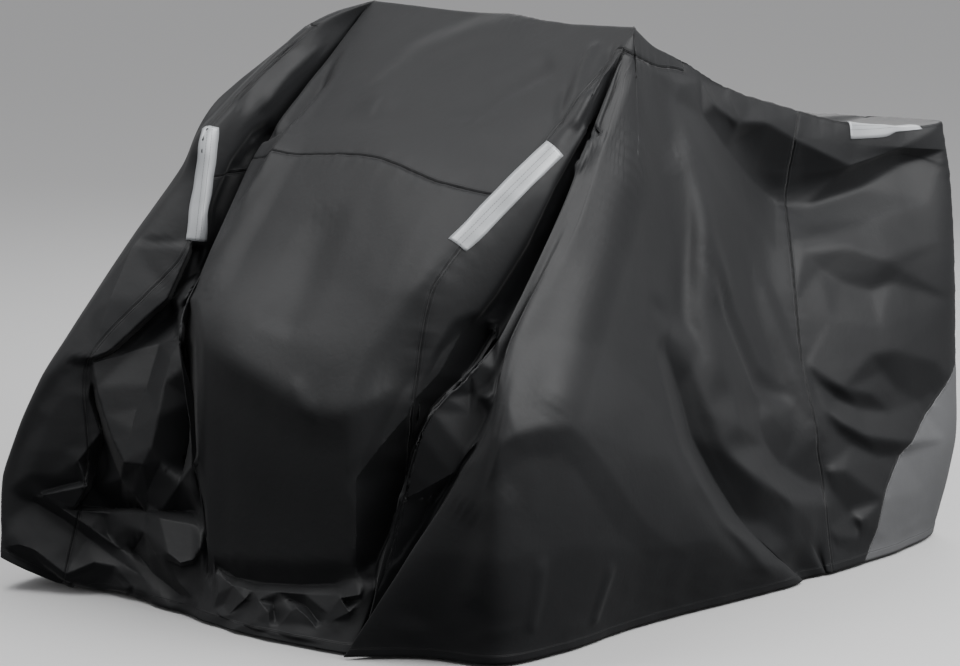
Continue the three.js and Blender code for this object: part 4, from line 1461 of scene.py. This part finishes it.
def sewSeams():
    rows = [besideSeam(finalPoints[chain], side * seamValues["stitchOffset"])
            for chain in seamLists if len(chain) > seamValues["fewestPoints"] for side in (-1, 1)]
    hem = []
    for chain in hemLists:
        raised = finalPoints[chain] + np.array([0, 0, seamValues["hemWidth"] * mm * seamValues["hemRow"]])
        raised = spacedLine(raised, seamValues["rowGap"])
        hem.append(np.array([clothTree.find_nearest(Vector(point))[0] for point in raised]))
    stitchCurve("seam_stitches", rows, thread)
    stitchCurve("hem_stitches", hem, thread)


def sewStrips():
    rows = []
    for places, facing in stripPlaces.values():
        middle = places.shape[1] // 2
        step = strips["halfWidth"] / middle
        for offset in strips["stitchRows"]:
            share = abs(offset) / step
            beside = middle + (1 if offset > 0 else -1)
            line = places[:, middle] * (1 - share) + places[:, beside] * share
            rows.append(line + facing[:, middle] * strips["thickness"] * mm)
    stitchCurve("strip_stitches", rows, thread)


sewSeams()
sewStrips()


# Plain pale floor, soft lights
stage = {
    "halfSize": 12,          # metres
    "below": 0.002,          # floor under the hem
    "colour": "#dcdcdc",
    "under": (0.08, 0.08, 0.082, 1),
    "horizon": (0.55, 0.55, 0.555, 1),
    "above": (0.6, 0.6, 0.61, 1),
    "fadesBetween": (-0.15, 0.9),    # sines of the heights where it fades from under to above
    "strength": 0.8,
}


def makeStage():
    bm = bmesh.new()
    bmesh.ops.create_grid(bm, x_segments=2, y_segments=2, size=stage["halfSize"])
    mesh = meshFrom(bm, "floor")
    mesh.transform(Matrix.Translation((0, 0, -stage["below"])))
    floor = addObject("floor", mesh)
    paint = {"Base Color": linear(stage["colour"]), "Roughness": 0.8}
    mesh.materials.append(withShader(newMaterial("pale floor"), paint))
    floor.visible_diffuse = floor.visible_glossy = False    # no light comes up from the floor
    bpy.context.scene.world = makeStudio()


def makeStudio():
    # pale above, dark below, so the cloth's undersides stay dark
    world = bpy.data.worlds.new("studio")
    world.use_nodes = True
    world.node_tree.nodes.clear()
    place = addNode(world, "ShaderNodeTexCoord")
    height = addNode(world, "ShaderNodeSeparateXYZ", None, {"Vector": place.outputs["Generated"]})
    share = mapped(world, height.outputs["Z"], stage["fadesBetween"])
    ramp = addNode(world, "ShaderNodeValToRGB", None, {"Fac": share})
    elements = ramp.color_ramp.elements
    elements[0].color = stage["under"]
    elements[1].color = stage["above"]
    elements.new(0.15).color = stage["horizon"]
    light = addNode(world, "ShaderNodeBackground", None,
                    {"Color": ramp.outputs["Color"], "Strength": stage["strength"]})
    addNode(world, "ShaderNodeOutputWorld", None, {"Surface": light.outputs["Background"]})
    return world


lights = {
    "right": {"at": (3.0, 0.4, 3.3), "size": 3.0, "power": 205},
    "left": {"at": (-0.9, -1.6, 3.6), "size": 1.8, "power": 60},
    "behind": {"at": (-1.4, 3.2, 2.8), "size": 2.4, "power": 60},
}
lampsAim = Vector((0, 0, 0.5))


def makeLights():
    for name, values in lights.items():
        data = bpy.data.lights.new(name, "AREA")
        data.shape = "SQUARE"
        data.size = values["size"]
        data.energy = values["power"]
        lamp = addObject(name, data)
        lamp.location = values["at"]
        turnTo(lamp, lampsAim - lamp.location)


makeStage()
makeLights()
